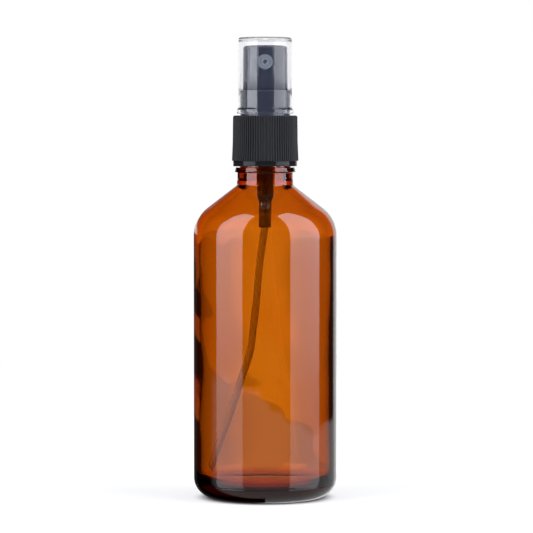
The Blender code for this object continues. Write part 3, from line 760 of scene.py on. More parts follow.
def grey_polypropylene():
    """Dark grey polypropylene, moulded: the pump's body, which looks almost black behind amber glass."""
    return moulded_plastic("grey_polypropylene_moulded", "545350", "4a4947", 0.35, 0.05, 0.4, 0.004)


def natural_polypropylene():
    """Natural polypropylene: milky, and lit from within where light passes it."""
    return moulded_plastic(
        "natural_polypropylene", "b9b4a8", "aaa498", 0.38, 0.05, 0.4, 0.004, Subsurface_Weight=0.3,
        Subsurface_Scale=0.002,
    )


def natural_polyethylene():
    """Extruded polyethylene tube: waxy and half clear, so its far wall shows through as a paler core."""
    return moulded_plastic(
        "natural_polyethylene_extruded", "f4f1ea", "ebe7de", 0.3, 0.05, 0.5, 0.004, Transmission_Weight=0.85
    )


def white_acetal():
    """White acetal, moulded: dense and smooth."""
    return moulded_plastic("white_acetal_moulded", "e4e3de", "d9d8d2", 0.32, 0.04, 0.3, 0.003)


def foam():
    """Closed-cell polyethylene foam, die cut: matt, with a fine cell pattern."""
    return moulded_plastic("polyethylene_foam", "e2e0d8", "c9c6bc", 0.8, 0.08, 0.25, 0.05)


def steel():
    """Stainless steel wire and ball, drawn and polished: bright metal with faint drawing lines."""
    return moulded_plastic(
        "stainless_steel_drawn", "c4c5c8", "a9aaae", 0.22, 0.06, 0.08, 0.002, Metallic=1.0, IOR=1.5
    )


def pale_floor(settings):
    """Opal acrylic sheet lit from below: pale and almost without shadow, and unlit under the base.
    It glows more to the camera than to other rays, so that it looks pale and still lights softly."""
    material, tree = new_material("opal_acrylic_lit")
    where = add(tree, "ShaderNodeTexCoord").outputs["Object"]
    clouds = add(tree, "ShaderNodeTexNoise", {"Vector": where, "Scale": 30.0, "Detail": 2.0})
    colours = {0: clouds, COLOUR_A: settings.floor_colour, COLOUR_B: linear("929294")}
    tone = add(tree, "ShaderNodeMix", colours, data_type="RGBA").outputs[COLOUR_OUT]
    made = {
        "away": add(tree, "ShaderNodeVectorMath", {0: where}, operation="LENGTH").outputs["Value"],
        "direct": add(tree, "ShaderNodeLightPath").outputs["Is Camera Ray"],
    }
    rows = (
        # Painted shadow: the glow fades out under the base, so the floor is darker where the bottle stands.
        ("glow", "FADE", "away", 17 * MM, 23 * MM, 0.0, 0.2),
        ("more", "MULTIPLY", "direct", 1.9),
        ("more", "ADD", "more", 1.0),
        ("glow", "MULTIPLY", "glow", "more"),
    )
    work_out(tree, made, rows)
    surface = add(
        tree,
        "ShaderNodeBsdfPrincipled",
        {
            "Base Color": tone,
            "Roughness": 0.9,
            "Specular IOR Level": 0.0,
            "Emission Color": WHITE,
            "Emission Strength": made["glow"],
        },
    )
    add(tree, "ShaderNodeOutputMaterial", {"Surface": surface})
    return material


# ---- operators ------------------------------------------------------------------------------------


# How long a run of an outline may be, in millimetres, by what lies on it.
WALL_STEP = 1.5
PLAIN_STEP = 1.2
CLOSURE_STEP = 0.25
THREAD_STEP = 0.22
# The heights in millimetres between which each thread may stand out of its wall.
GLASS_THREAD = (105.2, 113.2)
CLOSURE_THREAD = (103.8, 112.5)


def thread_share(low, high, share):
    """This share between these heights and nothing outside them."""
    return lambda height: share if low <= height <= high else 0.0


def wave_share(low, high):
    """How much of the waves a height takes: none near the floor and the neck, and all past the fade."""
    fade = 12.0
    return lambda height: min(1.0, max(0.0, (height - low) / fade), max(0.0, (high - height) / fade))


class SPRAYBOTTLE_OT_glass(bpy.types.Operator):
    """Builds the amber bottle with its screw neck"""

    bl_idname = "spraybottle.glass"
    bl_label = "Glass bottle"

    def execute(self, context):
        glass = context.scene.spraybottle_glass
        thread = context.scene.spraybottle_thread
        radius = glass.radius / MM
        heel = glass.heel / MM
        wall = glass.wall / MM
        slope = glass.shoulder_slope
        cone_end = math.pi / 2 - slope
        centre = (radius - glass.shoulder_radius / MM, glass.shoulder_start / MM)
        outer_shoulder = arc(centre, glass.shoulder_radius / MM, 0, cone_end, 20)
        inner_shoulder = arc(centre, glass.shoulder_radius / MM - wall, 0, cone_end, 16)
        heel_arc = arc((radius - heel, heel), heel, -math.pi / 2, 0, 22)
        root = glass.root / MM
        bore = glass.bore / MM
        neck = glass.neck / MM
        lip = glass.lip / MM
        finish = glass.finish / MM
        bead = glass.bead / MM
        bead_low = glass.bead_low / MM
        bead_high = glass.bead_high / MM
        push_up = glass.push_up / MM
        depth = glass.push_up_depth / MM
        root_foot = outer_shoulder[-1][1] + (outer_shoulder[-1][0] - root) * math.tan(slope)
        throat = inner_shoulder[-1][1] + (inner_shoulder[-1][0] - bore) * math.tan(slope)
        corner = glass.corner / MM
        corner_centre = (radius - wall - corner, glass.floor / MM + corner)
        floor = glass.floor / MM
        crown = glass.crown / MM
        base = rounded(
            [
                (0, depth),
                (push_up * 0.6, depth * 0.8, 6.0),
                (push_up - 0.9, 0.5, 1.0),
                (push_up, 0),
                (push_up + 0.01, 0),
            ]
        )
        neck_outline = rounded(
            [
                outer_shoulder[-2],
                outer_shoulder[-1],
                (root, root_foot, 0.5),
                (root, glass.root_top / MM - 0.5, 0.35),
                (neck, glass.root_top / MM + 0.1, 0.5),
                (neck, bead_low, 0.25),
                (bead - 0.15, bead_low + 0.03, 0.06),
                (bead, bead_low + 0.2, 0.08),
                (glass.bead_top_radius / MM, bead_high, 0.15),
                (finish, bead_high, 0.1),
                (finish, lip, 0.5),
                (bore, lip, 0.5),
            ]
        )[2:]
        outside = stepped(base + heel_arc + outer_shoulder, WALL_STEP)
        seam = glass.seam_height / MM
        # The outline's own points near the seam make room for the seam's.
        clear_of_seam = 0.3
        outside = [p for p in outside if abs(p[1] - seam) > clear_of_seam or p[0] < push_up]
        outside = self.with_seam(stepped(outside, WALL_STEP), seam, glass.seam_rise / MM)
        above = stepped(neck_outline, THREAD_STEP)
        inside = rounded([(bore, lip), (bore, throat, 2.2), inner_shoulder[-1]])[1:]
        inside = stepped([above[-1], *inside, *inner_shoulder[::-1]], PLAIN_STEP)
        corner_arc = arc(corner_centre, corner, 0, -math.pi / 2, 10)
        inside = inside + stepped([inner_shoulder[0], *corner_arc], WALL_STEP)[1:]
        floor_line = [
            (corner_centre[0] * (1 - t), floor + crown * math.sin(t * math.pi / 2))
            for t in (0.2, 0.4, 0.6, 0.8, 1)
        ]
        rows = (
            marked(outside, wave=0.0)
            + marked(above, thread=thread_share(*GLASS_THREAD, 1.0))
            + marked(inside[1:], wave=wave_share(floor + 3, throat + 6))
            + marked(floor_line)
        )
        piece = turned(
            "bottle_glass",
            rows,
            amber_glass(),
            glass.segments,
            thread_pitch=thread.pitch,
            thread_start=glass.thread_start,
            thread_turns=thread.turns,
            thread_rise=glass.thread_rise,
            wave_height=glass.wave,
            wave_size=glass.wave_size,
            seed=3.0,
        )
        settle(piece, "bottle", "amber_glass", "bottle")
        return {"FINISHED"}

    @staticmethod
    def with_seam(points, height, rise):
        """The outline with a thin raised line round it at this height."""
        # Points nearer the axis than this belong to the hollow under the base.
        outer = 15
        found = []
        for start, end in zip(points, points[1:]):
            found.append(start)
            if start[1] < height <= end[1] and start[0] > outer:
                share = (height - start[1]) / (end[1] - start[1])
                radius = start[0] + (end[0] - start[0]) * share
                found += [
                    (radius - 0.02, height - 0.09),
                    (radius + rise, height - 0.04),
                    (radius + rise, height + 0.04),
                    (radius + 0.02, height + 0.09),
                ]
        return [*found, points[-1]]


class SPRAYBOTTLE_OT_closure(bpy.types.Operator):
    """Builds the ribbed closure"""

    bl_idname = "spraybottle.closure"
    bl_label = "Ribbed closure"

    FACETS_PER_RIB = 10

    def execute(self, context):
        sizes = context.scene.spraybottle_closure
        thread = context.scene.spraybottle_thread
        glass = context.scene.spraybottle_glass
        bottom = COLLAR_LOW.z
        top = COLLAR_HIGH.z
        foot_radius = COLLAR_HIGH.x
        band = sizes.band_radius / MM
        band_top = sizes.band_top / MM
        bore = sizes.bore / MM
        plate = sizes.plate / MM
        hole = sizes.hole / MM
        outer = rounded(
            [
                (hole, top),
                (hole + 0.01, top),
                (sizes.top_radius / MM, top, sizes.edge / MM),
                (sizes.top_radius / MM + 0.08, band_top + 6.0, 20.0),
                (foot_radius, band_top, 0.06),
                (band, band_top, 0.1),
                (band, bottom, 0.2),
                (bore, bottom, 0.2),
            ]
        )
        # The grooves fade out over the rounded top edge and end square at the band.
        fade = sizes.edge / MM
        inner = rounded([outer[-1], (bore, plate, 0.4), (hole, plate, 0.1)])[1:]
        rows = [
            (*point, {"rib": self.rib_share(point, band, band_top, top, fade)})
            for point in stepped(outer, PLAIN_STEP)
        ]
        inside = stepped([outer[-1], *inner], CLOSURE_STEP)[1:]
        rows += marked(inside, thread=thread_share(*CLOSURE_THREAD, -1.0))
        piece = turned(
            "ribbed_closure",
            rows,
            ribbed_black(sizes),
            sizes.ribs * self.FACETS_PER_RIB,
            closed=True,
            ribs=sizes.ribs,
            rib_depth=sizes.rib_depth,
            thread_pitch=thread.pitch,
            thread_start=glass.thread_start - thread.drop,
            thread_turns=thread.turns,
            thread_rise=thread.closure_rise,
        )
        settle(piece, "collar", "ribbed_black", "closure_collar")
        return {"FINISHED"}

    @staticmethod
    def rib_share(point, band, band_top, top, fade):
        """How deep the grooves run at a point (radius, height) of the outline."""
        radius, height = point
        if height > band_top + 0.2:
            return min(1.0, max(0.0, (top - height) / fade)) if radius > band - 0.6 else 0.0
        return 1.0 if radius > band + 0.15 else 0.0


class SPRAYBOTTLE_OT_turret(bpy.types.Operator):
    """Builds the turret that guides the button"""

    bl_idname = "spraybottle.turret"
    bl_label = "Turret"

    def execute(self, context):
        sizes = context.scene.spraybottle_closure
        outer = sizes.turret / MM
        bore = sizes.turret_bore / MM
        floor = sizes.turret_floor / MM
        hole = sizes.turret_hole / MM
        rows = rounded(
            [
                (bore, TURRET_HIGH.z, 0.2),
                (outer, TURRET_HIGH.z, 0.3),
                (outer, floor, 0.1),
                (TURRET_HIGH.x, floor, 0.15),
                (TURRET_HIGH.x, TURRET_LOW.z, 0.15),
                (hole, TURRET_LOW.z, 0.15),
                (hole, floor, 0.2),
                (bore, floor, 0.3),
            ]
        )
        piece = turned("turret_polished", rows, gloss_black(), PLAIN_FACETS, closed=True)
        settle(piece, "pump", "smooth_black", "turret")
        return {"FINISHED"}


class SPRAYBOTTLE_OT_button(bpy.types.Operator):
    """Builds the finger button and the nozzle insert"""

    bl_idname = "spraybottle.button"
    bl_label = "Button and nozzle"

    def execute(self, context):
        sizes = context.scene.spraybottle_sprayer
        self.button(sizes)
        self.nozzle(sizes)
        return {"FINISHED"}

    def button(self, sizes):
        top = BUTTON_HIGH.z
        upper = sizes.button_top_radius / MM
        lower = BUTTON_HIGH.x
        wall = sizes.button_wall / MM
        ceiling = sizes.button_ceiling / MM
        dish = sizes.button_dish / MM
        boss = sizes.boss / MM
        socket = sizes.socket / MM
        socket_top = sizes.socket_top / MM
        feed = sizes.feed / MM
        feed_top = sizes.feed_top / MM
        height = (NOZZLE_LOW.z + NOZZLE_HIGH.z) / 2
        dish_radius = upper - 1.3
        dished = [
            (dish_radius * t, top - dish * (1 - t * t) ** 1.5) for t in (0, 0.15, 0.3, 0.45, 0.6, 0.75, 0.9)
        ]
        rows = dished + rounded(
            [
                (dish_radius, top),
                (upper, top, sizes.button_edge / MM),
                (lower, BUTTON_LOW.z, 0.2),
                (lower - wall, BUTTON_LOW.z, 0.2),
                (upper - wall, ceiling, 0.4),
                (boss, ceiling, 0.3),
                (boss, sizes.boss_low / MM, 0.2),
                (socket, sizes.boss_low / MM, 0.3),
                (socket, socket_top),
                (feed, socket_top),
                (feed, feed_top),
                (0, feed_top),
            ]
        )
        body = turned("button_body", rows, gloss_black(), PLAIN_FACETS)
        # The nozzle's boss is a rod that ends inside the skirt, so that it doesn't break the outside.
        boss_radius = 3.3
        boss_end = -(upper - 0.93)
        web = rod_mesh("nozzle_boss", boss_radius, (0, -(socket + 0.4), height), (0, boss_end, height))
        well = sizes.well / MM
        floor = sizes.well_floor / MM
        post = sizes.post / MM
        post_end = sizes.post_end / MM
        well_rows = rounded(
            [
                (0, post_end),
                (post, post_end, 0.1),
                (post, floor),
                (well, floor),
                (well, upper + 1),
                (0, upper + 1),
            ]
        )
        pocket = laid_forward(turned("nozzle_well", well_rows, None, SMALL_FACETS), height)
        channel_height = height + (post + well) / 2
        channel_radius = 0.45
        axis = (0, 0, channel_height)
        into_well = (0, -(floor + 0.5), channel_height)
        channel = rod_mesh("feed_channel", channel_radius, axis, into_well, 24)
        steps = [(web, "UNION"), (pocket, "DIFFERENCE"), (channel, "DIFFERENCE")]
        settle(combined(body, steps, "finger_button"), "plunger", "smooth_black", "actuator_button")

    def nozzle(self, sizes):
        face = -NOZZLE_LOW.y
        back = -NOZZLE_HIGH.y
        radius = NOZZLE_HIGH.x
        bore = 1.5
        orifice = sizes.orifice / MM
        height = (NOZZLE_LOW.z + NOZZLE_HIGH.z) / 2
        # From the orifice outwards: a flared dish, a flat, a fine groove, and the rounded rim.
        rows = rounded(
            [
                (orifice, face - 0.38),
                (orifice + 0.14, face - 0.3, 0.05),
                (0.72, face - 0.12, 0.1),
                (0.8, face - 0.02, 0.05),
                (1.5, face - 0.02, 0.04),
                (1.56, face - 0.1, 0.03),
                (1.66, face - 0.1, 0.03),
                (1.72, face, 0.04),
                (radius, face, 0.16),
                (radius, back, 0.1),
                (bore, back, 0.1),
                (bore, face - 0.8),
                (orifice, face - 0.8),
            ]
        )
        grey = grey_acetal(height * MM, sizes.orifice)
        piece = turned("nozzle_disc", rows, grey, SMALL_FACETS, closed=True)
        settle(laid_forward(piece, height), "plunger", "grey_insert", "nozzle_insert")


class SPRAYBOTTLE_OT_overcap(bpy.types.Operator):
    """Builds the clear overcap"""

    bl_idname = "spraybottle.overcap"
    bl_label = "Clear overcap"

    def execute(self, context):
        sizes = context.scene.spraybottle_sprayer
        radius = sizes.cap_radius / MM
        bead_top = sizes.cap_bead_top / MM
        mouth = sizes.cap_mouth / MM
        bore = sizes.cap_bore / MM
        step = sizes.cap_step / MM
        rows = rounded(
            [
                (0, CAP_HIGH.z),
                (radius - 0.08, CAP_HIGH.z, 0.6),
                (radius, bead_top, 0.3),
                (CAP_HIGH.x, bead_top - 0.5, 0.3),
                (CAP_HIGH.x, CAP_LOW.z, 0.3),
                (mouth, CAP_LOW.z, 0.15),
                (mouth, step, 4.0),
                (bore, sizes.cap_ceiling / MM, 0.6),
                (0, sizes.cap_ceiling / MM),
            ]
        )
        piece = turned("clear_overcap", rows, clear_polypropylene(), CLEAR_FACETS)
        settle(piece, "overcap", "clear_plastic", "overcap")
        return {"FINISHED"}


class SPRAYBOTTLE_OT_pump(bpy.types.Operator):
    """Builds the pump housing and the dip tube"""

    bl_idname = "spraybottle.pump"
    bl_label = "Pump housing and dip tube"

    # The tube's route: out of its socket on the axis, then in a slack bow to the foot of the wall.
    ROUTE = [
        (0.0, 91.4),
        (0.0, 87.9),
        (-0.1, 84.2),
        (-1.6, 74.8),
        (-2.6, 63.0),
        (-3.8, 52.3),
        (-4.9, 45.2),
        (-7.0, 38.0),
        (-9.2, 30.9),
        (-11.7, 23.7),
        (-14.4, 16.6),
        (-16.9, 9.4),
        (-17.5, 7.7),
    ]

    def execute(self, context):
        sizes = context.scene.spraybottle_sprayer
        self.housing()
        self.tube(sizes)
        return {"FINISHED"}

    def housing(self):
        top = HOUSING_HIGH.z
        foot = HOUSING_LOW.z
        flange = HOUSING_HIGH.x
        # Down the outside from the flange to the tube's socket, then up the inside: the socket, the
        # ball's seat and cage, the barrel in which the piston slides, and the wide bore over it.
        rows = rounded(
            [
                (flange, top, 0.1),
                (flange, top - 0.85, 0.1),
                (4.4, top - 0.85, 0.2),
                (4.4, 102.6, 0.4),
                (2.6, 101.2, 0.4),
                (2.6, 93.6, 0.3),
                (1.9, 91.7, 0.3),
                (1.9, foot, 0.12),
                (1.25, foot, 0.12),
                (1.25, 91.6),
                (0.6, 91.6),
                (0.6, 93.3),
                (1.36, 94.4),
                (1.36, 96.2),
                (0.98, 96.2),
                (0.98, 96.85),
                (1.9, 96.85),
                (1.9, 102.2, 0.3),
                (3.5, 103.3, 0.3),
                (3.5, 113.0),
                (3.95, 113.0),
                (3.95, top, 0.15),
            ]
        )
        body = turned("housing_body", rows, grey_polypropylene(), SMALL_FACETS, closed=True)
        vent_height = 112.4
        vent = rod_mesh("vent", 0.3, (2.5, 0, vent_height), (5.4, 0, vent_height), 20)
        vented = combined(body, [(vent, "DIFFERENCE")], "pump_barrel")
        settle(vented, "pump", "milky_plastic", "pump_housing")

    def tube(self, sizes):
        curve = bpy.data.curves.new("tube_path", "CURVE")
        curve.dimensions = "3D"
        spline = curve.splines.new("POLY")
        points = self.smooth_points()
        spline.points.add(len(points) - 1)
        for point, at in zip(spline.points, points):
            point.co = (at[0] * MM, 0, at[1] * MM, 1)
        source = bpy.data.objects.new("tube_path", curve)
        bpy.context.scene.collection.objects.link(source)
        modifier = source.modifiers.new("Tube", "NODES")
        modifier.node_group = tree_for(tube_tree, "Tube on a path")
        material = natural_polyethylene()
        set_inputs(modifier, {"Radius": sizes.tube, "Step": 0.8 * MM, "Material": material})
        wall = source.modifiers.new("Wall", "SOLIDIFY")
        wall.thickness = sizes.tube_wall
        wall.offset = -1
        tube = plain_piece(source, "tube_whole")
        foot = Vector((points[-1][0], 0, points[-1][1])) * MM
        before = Vector((points[-2][0], 0, points[-2][1])) * MM
        along = (foot - before).normalized()
        cut_angle = math.radians(38)
        slanted = Matrix.Rotation(cut_angle, 3, "Y") @ along
        start = (foot - along * sizes.tube) / MM
        cutter = rod_mesh("tube_cut", 5.0, start, start + slanted * 6.0, 32)
        cut = combined(tube, [(cutter, "DIFFERENCE")], "curved_dip_tube")
        settle(cut, "pump", "milky_plastic", "dip_tube")

    def smooth_points(self):
        """Points on the smooth curve through the route, about half a millimetre apart."""
        ends = [self.ROUTE[0], *self.ROUTE, self.ROUTE[-1]]
        points = []
        for before, start, end, after in zip(ends, ends[1:], ends[2:], ends[3:]):
            first = Vector(start)
            last = Vector(end)
            leave = (last - Vector(before)) / 2
            arrive = (Vector(after) - first) / 2
            pieces = max(1, round((last - first).length / 0.5))
            for i in range(pieces):
                t = i / pieces
                from_ends = (2 * t**3 - 3 * t**2 + 1) * first + (3 * t**2 - 2 * t**3) * last
                from_slopes = (t**3 - 2 * t**2 + t) * leave + (t**3 - t**2) * arrive
                points.append(from_ends + from_slopes)
        points.append(Vector(self.ROUTE[-1]))
        return points


class SPRAYBOTTLE_OT_works(bpy.types.Operator):
    """Builds the springs and finishes the small parts inside the pump"""

    bl_idname = "spraybottle.works"
    bl_label = "Springs and valve parts"

    def execute(self, context):
        metal = steel()
        self.spring("return_coil", RETURN_LOW, RETURN_HIGH, 0.2, 8.0, metal, "pump", "return_spring")
        self.spring("small_coil", SMALL_LOW, SMALL_HIGH, 0.15, 3.0, metal, "plunger", "precompression_spring")
        dress("inlet_ball", metal)
        white = white_acetal()
        for node in ("retaining_ring", "piston_seat", "stem"):
            dress(node, white)
        dress("piston", natural_polypropylene())
        dress("neck_gasket", foam())
        return {"FINISHED"}

    def spring(self, name, low, high, wire, turns, metal, body, node):
        """A spring between two corners of its box, with this wire radius in millimetres and turns."""
        source = bpy.data.objects.new(name, bpy.data.meshes.new(name))
        bpy.context.scene.collection.objects.link(source)
        modifier = source.modifiers.new("Coil", "NODES")
        modifier.node_group = tree_for(coil_tree, "Coil spring")
        values = {
            "Turns": turns,
            "Coil radius": (high.x - wire) * MM,
            "Wire radius": wire * MM,
            "Bottom": low.z * MM,
            "Top": high.z * MM,
            "Material": metal,
        }
        set_inputs(modifier, values)
        settle(plain_piece(source, name), body, "steel", node)


class SPRAYBOTTLE_OT_studio(bpy.types.Operator):
    """Builds the pale floor, the softboxes, the backdrop light and the camera"""

    bl_idname = "spraybottle.studio"
    bl_label = "Studio"

    # Metres from the axis, height of the lower edge, and height from edge to edge.
    SOFTBOX_DISTANCE = 0.6
    SOFTBOX_FOOT = -0.35
    SOFTBOX_TALL = 2.2
    # The softboxes as mirrored behind the overcap: from and to this many degrees round, and how bright.
    BANDS = (("left band", -86, -36, 1.5), ("right band", 40, 112, 0.88))
    BAND_SOFTNESS = 1.5

    def execute(self, context):
        sizes = context.scene.spraybottle_studio
        self.floor(sizes)
        self.softbox("softbox_left", sizes, azimuth=-60, half_width=24)
        self.softbox("softbox_right", sizes, azimuth=68, half_width=28)
        self.backdrop(context, sizes)
        self.camera(context, sizes)
        context.scene.view_settings.view_transform = "Standard"
        return {"FINISHED"}

    def floor(self, sizes):
        mesh = bpy.data.meshes.new("floor")
        shape = bmesh.new()
        bmesh.ops.create_circle(shape, cap_ends=True, segments=128, radius=sizes.floor_radius)
        shape.to_mesh(mesh)
        shape.free()
        mesh.materials.append(pale_floor(sizes))
        floor = bpy.data.objects.new("floor", mesh)
        bpy.context.scene.collection.objects.link(floor)
        floor.location.z = -0.02 * MM
        floor.visible_glossy = False
        floor.visible_transmission = False

    def softbox(self, name, sizes, azimuth, half_width):
        """A tall softbox, this many degrees round from the camera's side and wide to each side."""
        wide = 2 * self.SOFTBOX_DISTANCE * math.tan(math.radians(half_width))
        tall = self.SOFTBOX_TALL
        light = bpy.data.lights.new(name, "AREA")
        light.shape = "RECTANGLE"
        light.size = wide
        light.size_y = tall
        light.color = sizes.softbox_colour
        light.energy = sizes.softbox * math.pi * wide * tall
        light.use_nodes = True
        tree = light.node_tree
        tree.nodes.clear()
        at = add(tree, "ShaderNodeSeparateXYZ", {0: add(tree, "ShaderNodeNewGeometry")})
        made = {"height": at.outputs["Z"]}
        # Dimmer under the floor's height and brighter above it.
        rows = (
            ("foot", "FADE", "height", -0.04, 0.04, 0.5, 1.0),
            ("head", "FADE", "height", 0.03, 0.09, 1.0, 1.5),
            ("strength", "MULTIPLY", "foot", "head"),
        )
        work_out(tree, made, rows)
        glow = add(tree, "ShaderNodeEmission", {"Color": WHITE, "Strength": made["strength"]})
        add(tree, "ShaderNodeOutputLight", {"Surface": glow})
        lamp = bpy.data.objects.new(name, light)
        bpy.context.scene.collection.objects.link(lamp)
        turn = math.radians(azimuth)
        out = Vector((math.sin(turn), -math.cos(turn), 0))
        lamp.location = out * self.SOFTBOX_DISTANCE + Vector((0, 0, self.SOFTBOX_FOOT + tall / 2))
        lamp.rotation_mode = "QUATERNION"
        lamp.rotation_quaternion = out.to_track_quat("Z", "Y")
        lamp.visible_camera = False
        lamp.visible_transmission = False

    def backdrop(self, context, sizes):
        """White all round for the view and the matt surfaces. What is mirrored sees a dark room instead,
        with the lit wall behind the bottle and the pale floor in front of it."""
        world = bpy.data.worlds.new("studio")
        world.use_nodes = True
        tree = world.node_tree
        tree.nodes.clear()
        path = add(tree, "ShaderNodeLightPath").outputs
        towards = add(tree, "ShaderNodeSeparateXYZ", {0: add(tree, "ShaderNodeTexCoord")}).outputs
        # How often the ray was mirrored, refracted or scattered, and its direction: to the right as the
        # camera sees it, away from the camera's side, and up.
        made = {
            "glossy": path["Glossy Depth"],
            "transmission": path["Transmission Depth"],
            "diffuse": path["Diffuse Depth"],
            "side": towards["X"],
            "back": towards["Y"],
            "up": towards["Z"],
        }
        rows = [
            ("mirrored", "GREATER_THAN", "glossy", 0.5),
            ("refracted", "GREATER_THAN", "transmission", 0.5),
            ("scattered", "GREATER_THAN", "diffuse", 0.5),
            ("sideways", "ABSOLUTE", "side"),
            ("above", "FADE", "up", -0.006, 0.0, 0.0, 1.0),
            # Through the glass: the wall's light is brightest in the middle, and weaker past the
            # floor's edge, which isn't quite square to the view.
            ("middle", "FADE", "sideways", 0.014, 0.07, 1.0, 0.75),
            ("slope", "MULTIPLY", "side", 0.11),
            ("under", "ADD", "up", "slope"),
            ("under", "ADD", "under", 0.0922),
            ("bottom", "FADE", "under", -0.001, 0.001, 0.72, 1.0),
            ("wall light", "MULTIPLY", "middle", "bottom"),
            ("seen through", "MAXIMUM", "wall light", "above"),
            # Mirrored from outside: the lit wall on the right, its bright top, and the pale floor.
            ("wall", "FADE", "back", 0.76, 0.86, 0.015, 1.0),
            ("cap height", "FADE", "up", 0.06, 0.12, 1.0, 0.0),
            ("level with cap", "MULTIPLY", "above", "cap height"),
            ("right half", "FADE", "side", -0.02, 0.02, 0.03, 1.0),
            ("right", "MAXIMUM", "right half", "level with cap"),
            ("high up", "FADE", "up", 0.15, 0.4, 0.0, 1.0),
            ("far back", "FADE", "back", 0.88, 0.96, 0.0, 1.0),
            ("wall top", "MULTIPLY", "high up", "far back"),
            ("bright wall", "MULTIPLY", "wall", "right"),
            ("bright wall", "MAXIMUM", "bright wall", "wall top"),
            ("slant", "MULTIPLY", "side", 0.0096),
            ("slant", "ADD", "slant", 0.0918),
            ("below", "ADD", "up", "slant"),
            ("floor", "FADE", "below", 0.002, -0.002, 0.0, 0.6),
            ("left half", "LESS_THAN", "side", 0.0),
            ("behind", "FADE", "back", -0.1, 0.2, 0.0, 1.0),
            ("behind left", "MULTIPLY", "left half", "behind"),
            ("elsewhere", "SUBTRACT", 1.0, "behind left"),
            ("floor", "MULTIPLY", "floor", "elsewhere"),
            ("outside", "MAXIMUM", "bright wall", "floor"),
            # Mirrored behind clear surfaces: dark, but for a glow low on the left, and for the overcap,
            # which lets the softboxes and the bright wall reach the button.
            ("low", "FADE", "up", -0.075, -0.06, 0.0, 0.5),
            ("far left", "FADE", "side", -0.05, -0.15, 0.0, 1.0),
            ("glow", "MULTIPLY", "low", "far left"),
            ("glow back", "FADE", "back", 0.7, 0.85, 0.0, 1.0),
            ("glow", "MULTIPLY", "glow", "glow back"),
            ("front", "MULTIPLY", "back", -1.0),
            ("turn", "ARCTAN2", "side", "front"),
        ]
        soft = math.radians(self.BAND_SOFTNESS)
        for band, low, high, share in self.BANDS:
            start = math.radians(low)
            end = math.radians(high)
            rows += [
                (band, "FADE", "turn", start - soft, start + soft, 0.0, 1.0),
                (band + " end", "FADE", "turn", end - soft, end + soft, 1.0, 0.0),
                (band, "MULTIPLY", band, band + " end"),
                (band, "MULTIPLY", band, sizes.softbox * share),
            ]
        rows += [
            ("bands", "MAXIMUM", "left band", "right band"),
            ("room", "FADE", "back", -0.1, 0.15, 0.015, 1.0),
            ("overhead", "FADE", "up", 0.25, 0.5, 0.0, 1.0),
            ("around", "MAXIMUM", "room", "overhead"),
            ("cap light", "MAXIMUM", "bands", "around"),
            ("cap light", "MULTIPLY", "above", "cap light"),
            ("rim", "FADE", "up", -0.046, -0.04, 0.0, 0.9),
            ("rim back", "FADE", "back", 0.96, 0.985, 0.0, 1.0),
            ("rim", "MULTIPLY", "rim", "rim back"),
            ("table", "FADE", "up", -0.3, -0.5, 0.04, 0.5),
            ("inside", "MAXIMUM", "glow", "rim"),
            ("inside", "MAXIMUM", "inside", "cap light"),
            ("inside", "MAXIMUM", "inside", "table"),
            # What a ray gets: by whether it was mirrored, passed a clear piece, or left a matt surface.
            ("reflection", "MIX", "refracted", "outside", "inside"),
            ("direct", "MIX", "refracted", 1.0, "seen through"),
            ("level", "MIX", "mirrored", "direct", "reflection"),
            ("level", "MIX", "scattered", "level", 1.0),
            ("level", "MULTIPLY", "level", sizes.backdrop),
        ]
        work_out(tree, made, rows)
        light = add(tree, "ShaderNodeBackground", {"Color": WHITE, "Strength": made["level"]})
        add(tree, "ShaderNodeOutputWorld", {"Surface": light})
        context.scene.world = world

    def camera(self, context, sizes):
        data = bpy.data.cameras.new("camera")
        data.lens = sizes.lens
        data.sensor_width = 36.0
        camera = bpy.data.objects.new("camera", data)
        context.scene.collection.objects.link(camera)
        camera.location = (sizes.aim_side, -sizes.camera_distance, sizes.camera_height)
        aim = Vector((sizes.aim_side, 0, sizes.aim_height))
        camera.rotation_mode = "QUATERNION"
        camera.rotation_quaternion = (aim - camera.location).to_track_quat("-Z", "Y")
        data.clip_start = 0.05
        data.clip_end = 20.0
        context.scene.camera = camera


# ---- add-on ---------------------------------------------------------------------------------------


OPERATORS = (
    SPRAYBOTTLE_OT_glass,
    SPRAYBOTTLE_OT_closure,
    SPRAYBOTTLE_OT_turret,
    SPRAYBOTTLE_OT_button,
    SPRAYBOTTLE_OT_overcap,
    SPRAYBOTTLE_OT_pump,
    SPRAYBOTTLE_OT_works,
    SPRAYBOTTLE_OT_studio,
)

SETTINGS = {
    "spraybottle_glass": GlassSettings,
    "spraybottle_thread": ThreadSettings,
    "spraybottle_closure": ClosureSettings,
    "spraybottle_sprayer": SprayerSettings,
    "spraybottle_studio": StudioSettings,
}


class SPRAYBOTTLE_PT_panel(bpy.types.Panel):
    """Lists the pieces of the spray bottle in the order they are built"""

    bl_label = "Spray bottle"
    bl_space_type = "VIEW_3D"
    bl_region_type = "UI"
    bl_category = "Spray bottle"

    def draw(self, context):
        for operator in OPERATORS:
            self.layout.operator(operator.bl_idname)
        for name, group in SETTINGS.items():
            settings = getattr(context.scene, name)
            column = self.layout.column(heading=group.__name__)
            for key in group.__annotations__:
                column.prop(settings, key)


CLASSES = (*SETTINGS.values(), *OPERATORS, SPRAYBOTTLE_PT_panel)


def register():
    for item in CLASSES:
        bpy.utils.register_class(item)
    for name, group in SETTINGS.items():
        setattr(bpy.types.Scene, name, PointerProperty(type=group))


def unregister():
    for name in SETTINGS:
        delattr(bpy.types.Scene, name)
    for item in reversed(CLASSES):
        bpy.utils.unregister_class(item)


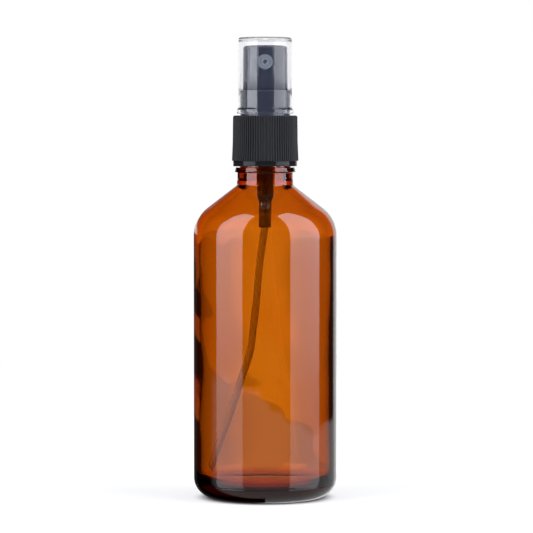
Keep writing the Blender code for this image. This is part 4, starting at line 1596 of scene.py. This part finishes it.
def main():
    register()
    bpy.ops.spraybottle.glass()
    bpy.ops.spraybottle.closure()
    bpy.ops.spraybottle.turret()
    bpy.ops.spraybottle.button()
    bpy.ops.spraybottle.overcap()
    bpy.ops.spraybottle.pump()
    bpy.ops.spraybottle.works()
    bpy.ops.spraybottle.studio()
    bpy.context.view_layer.update()


if __name__ == "__main__":
    main()
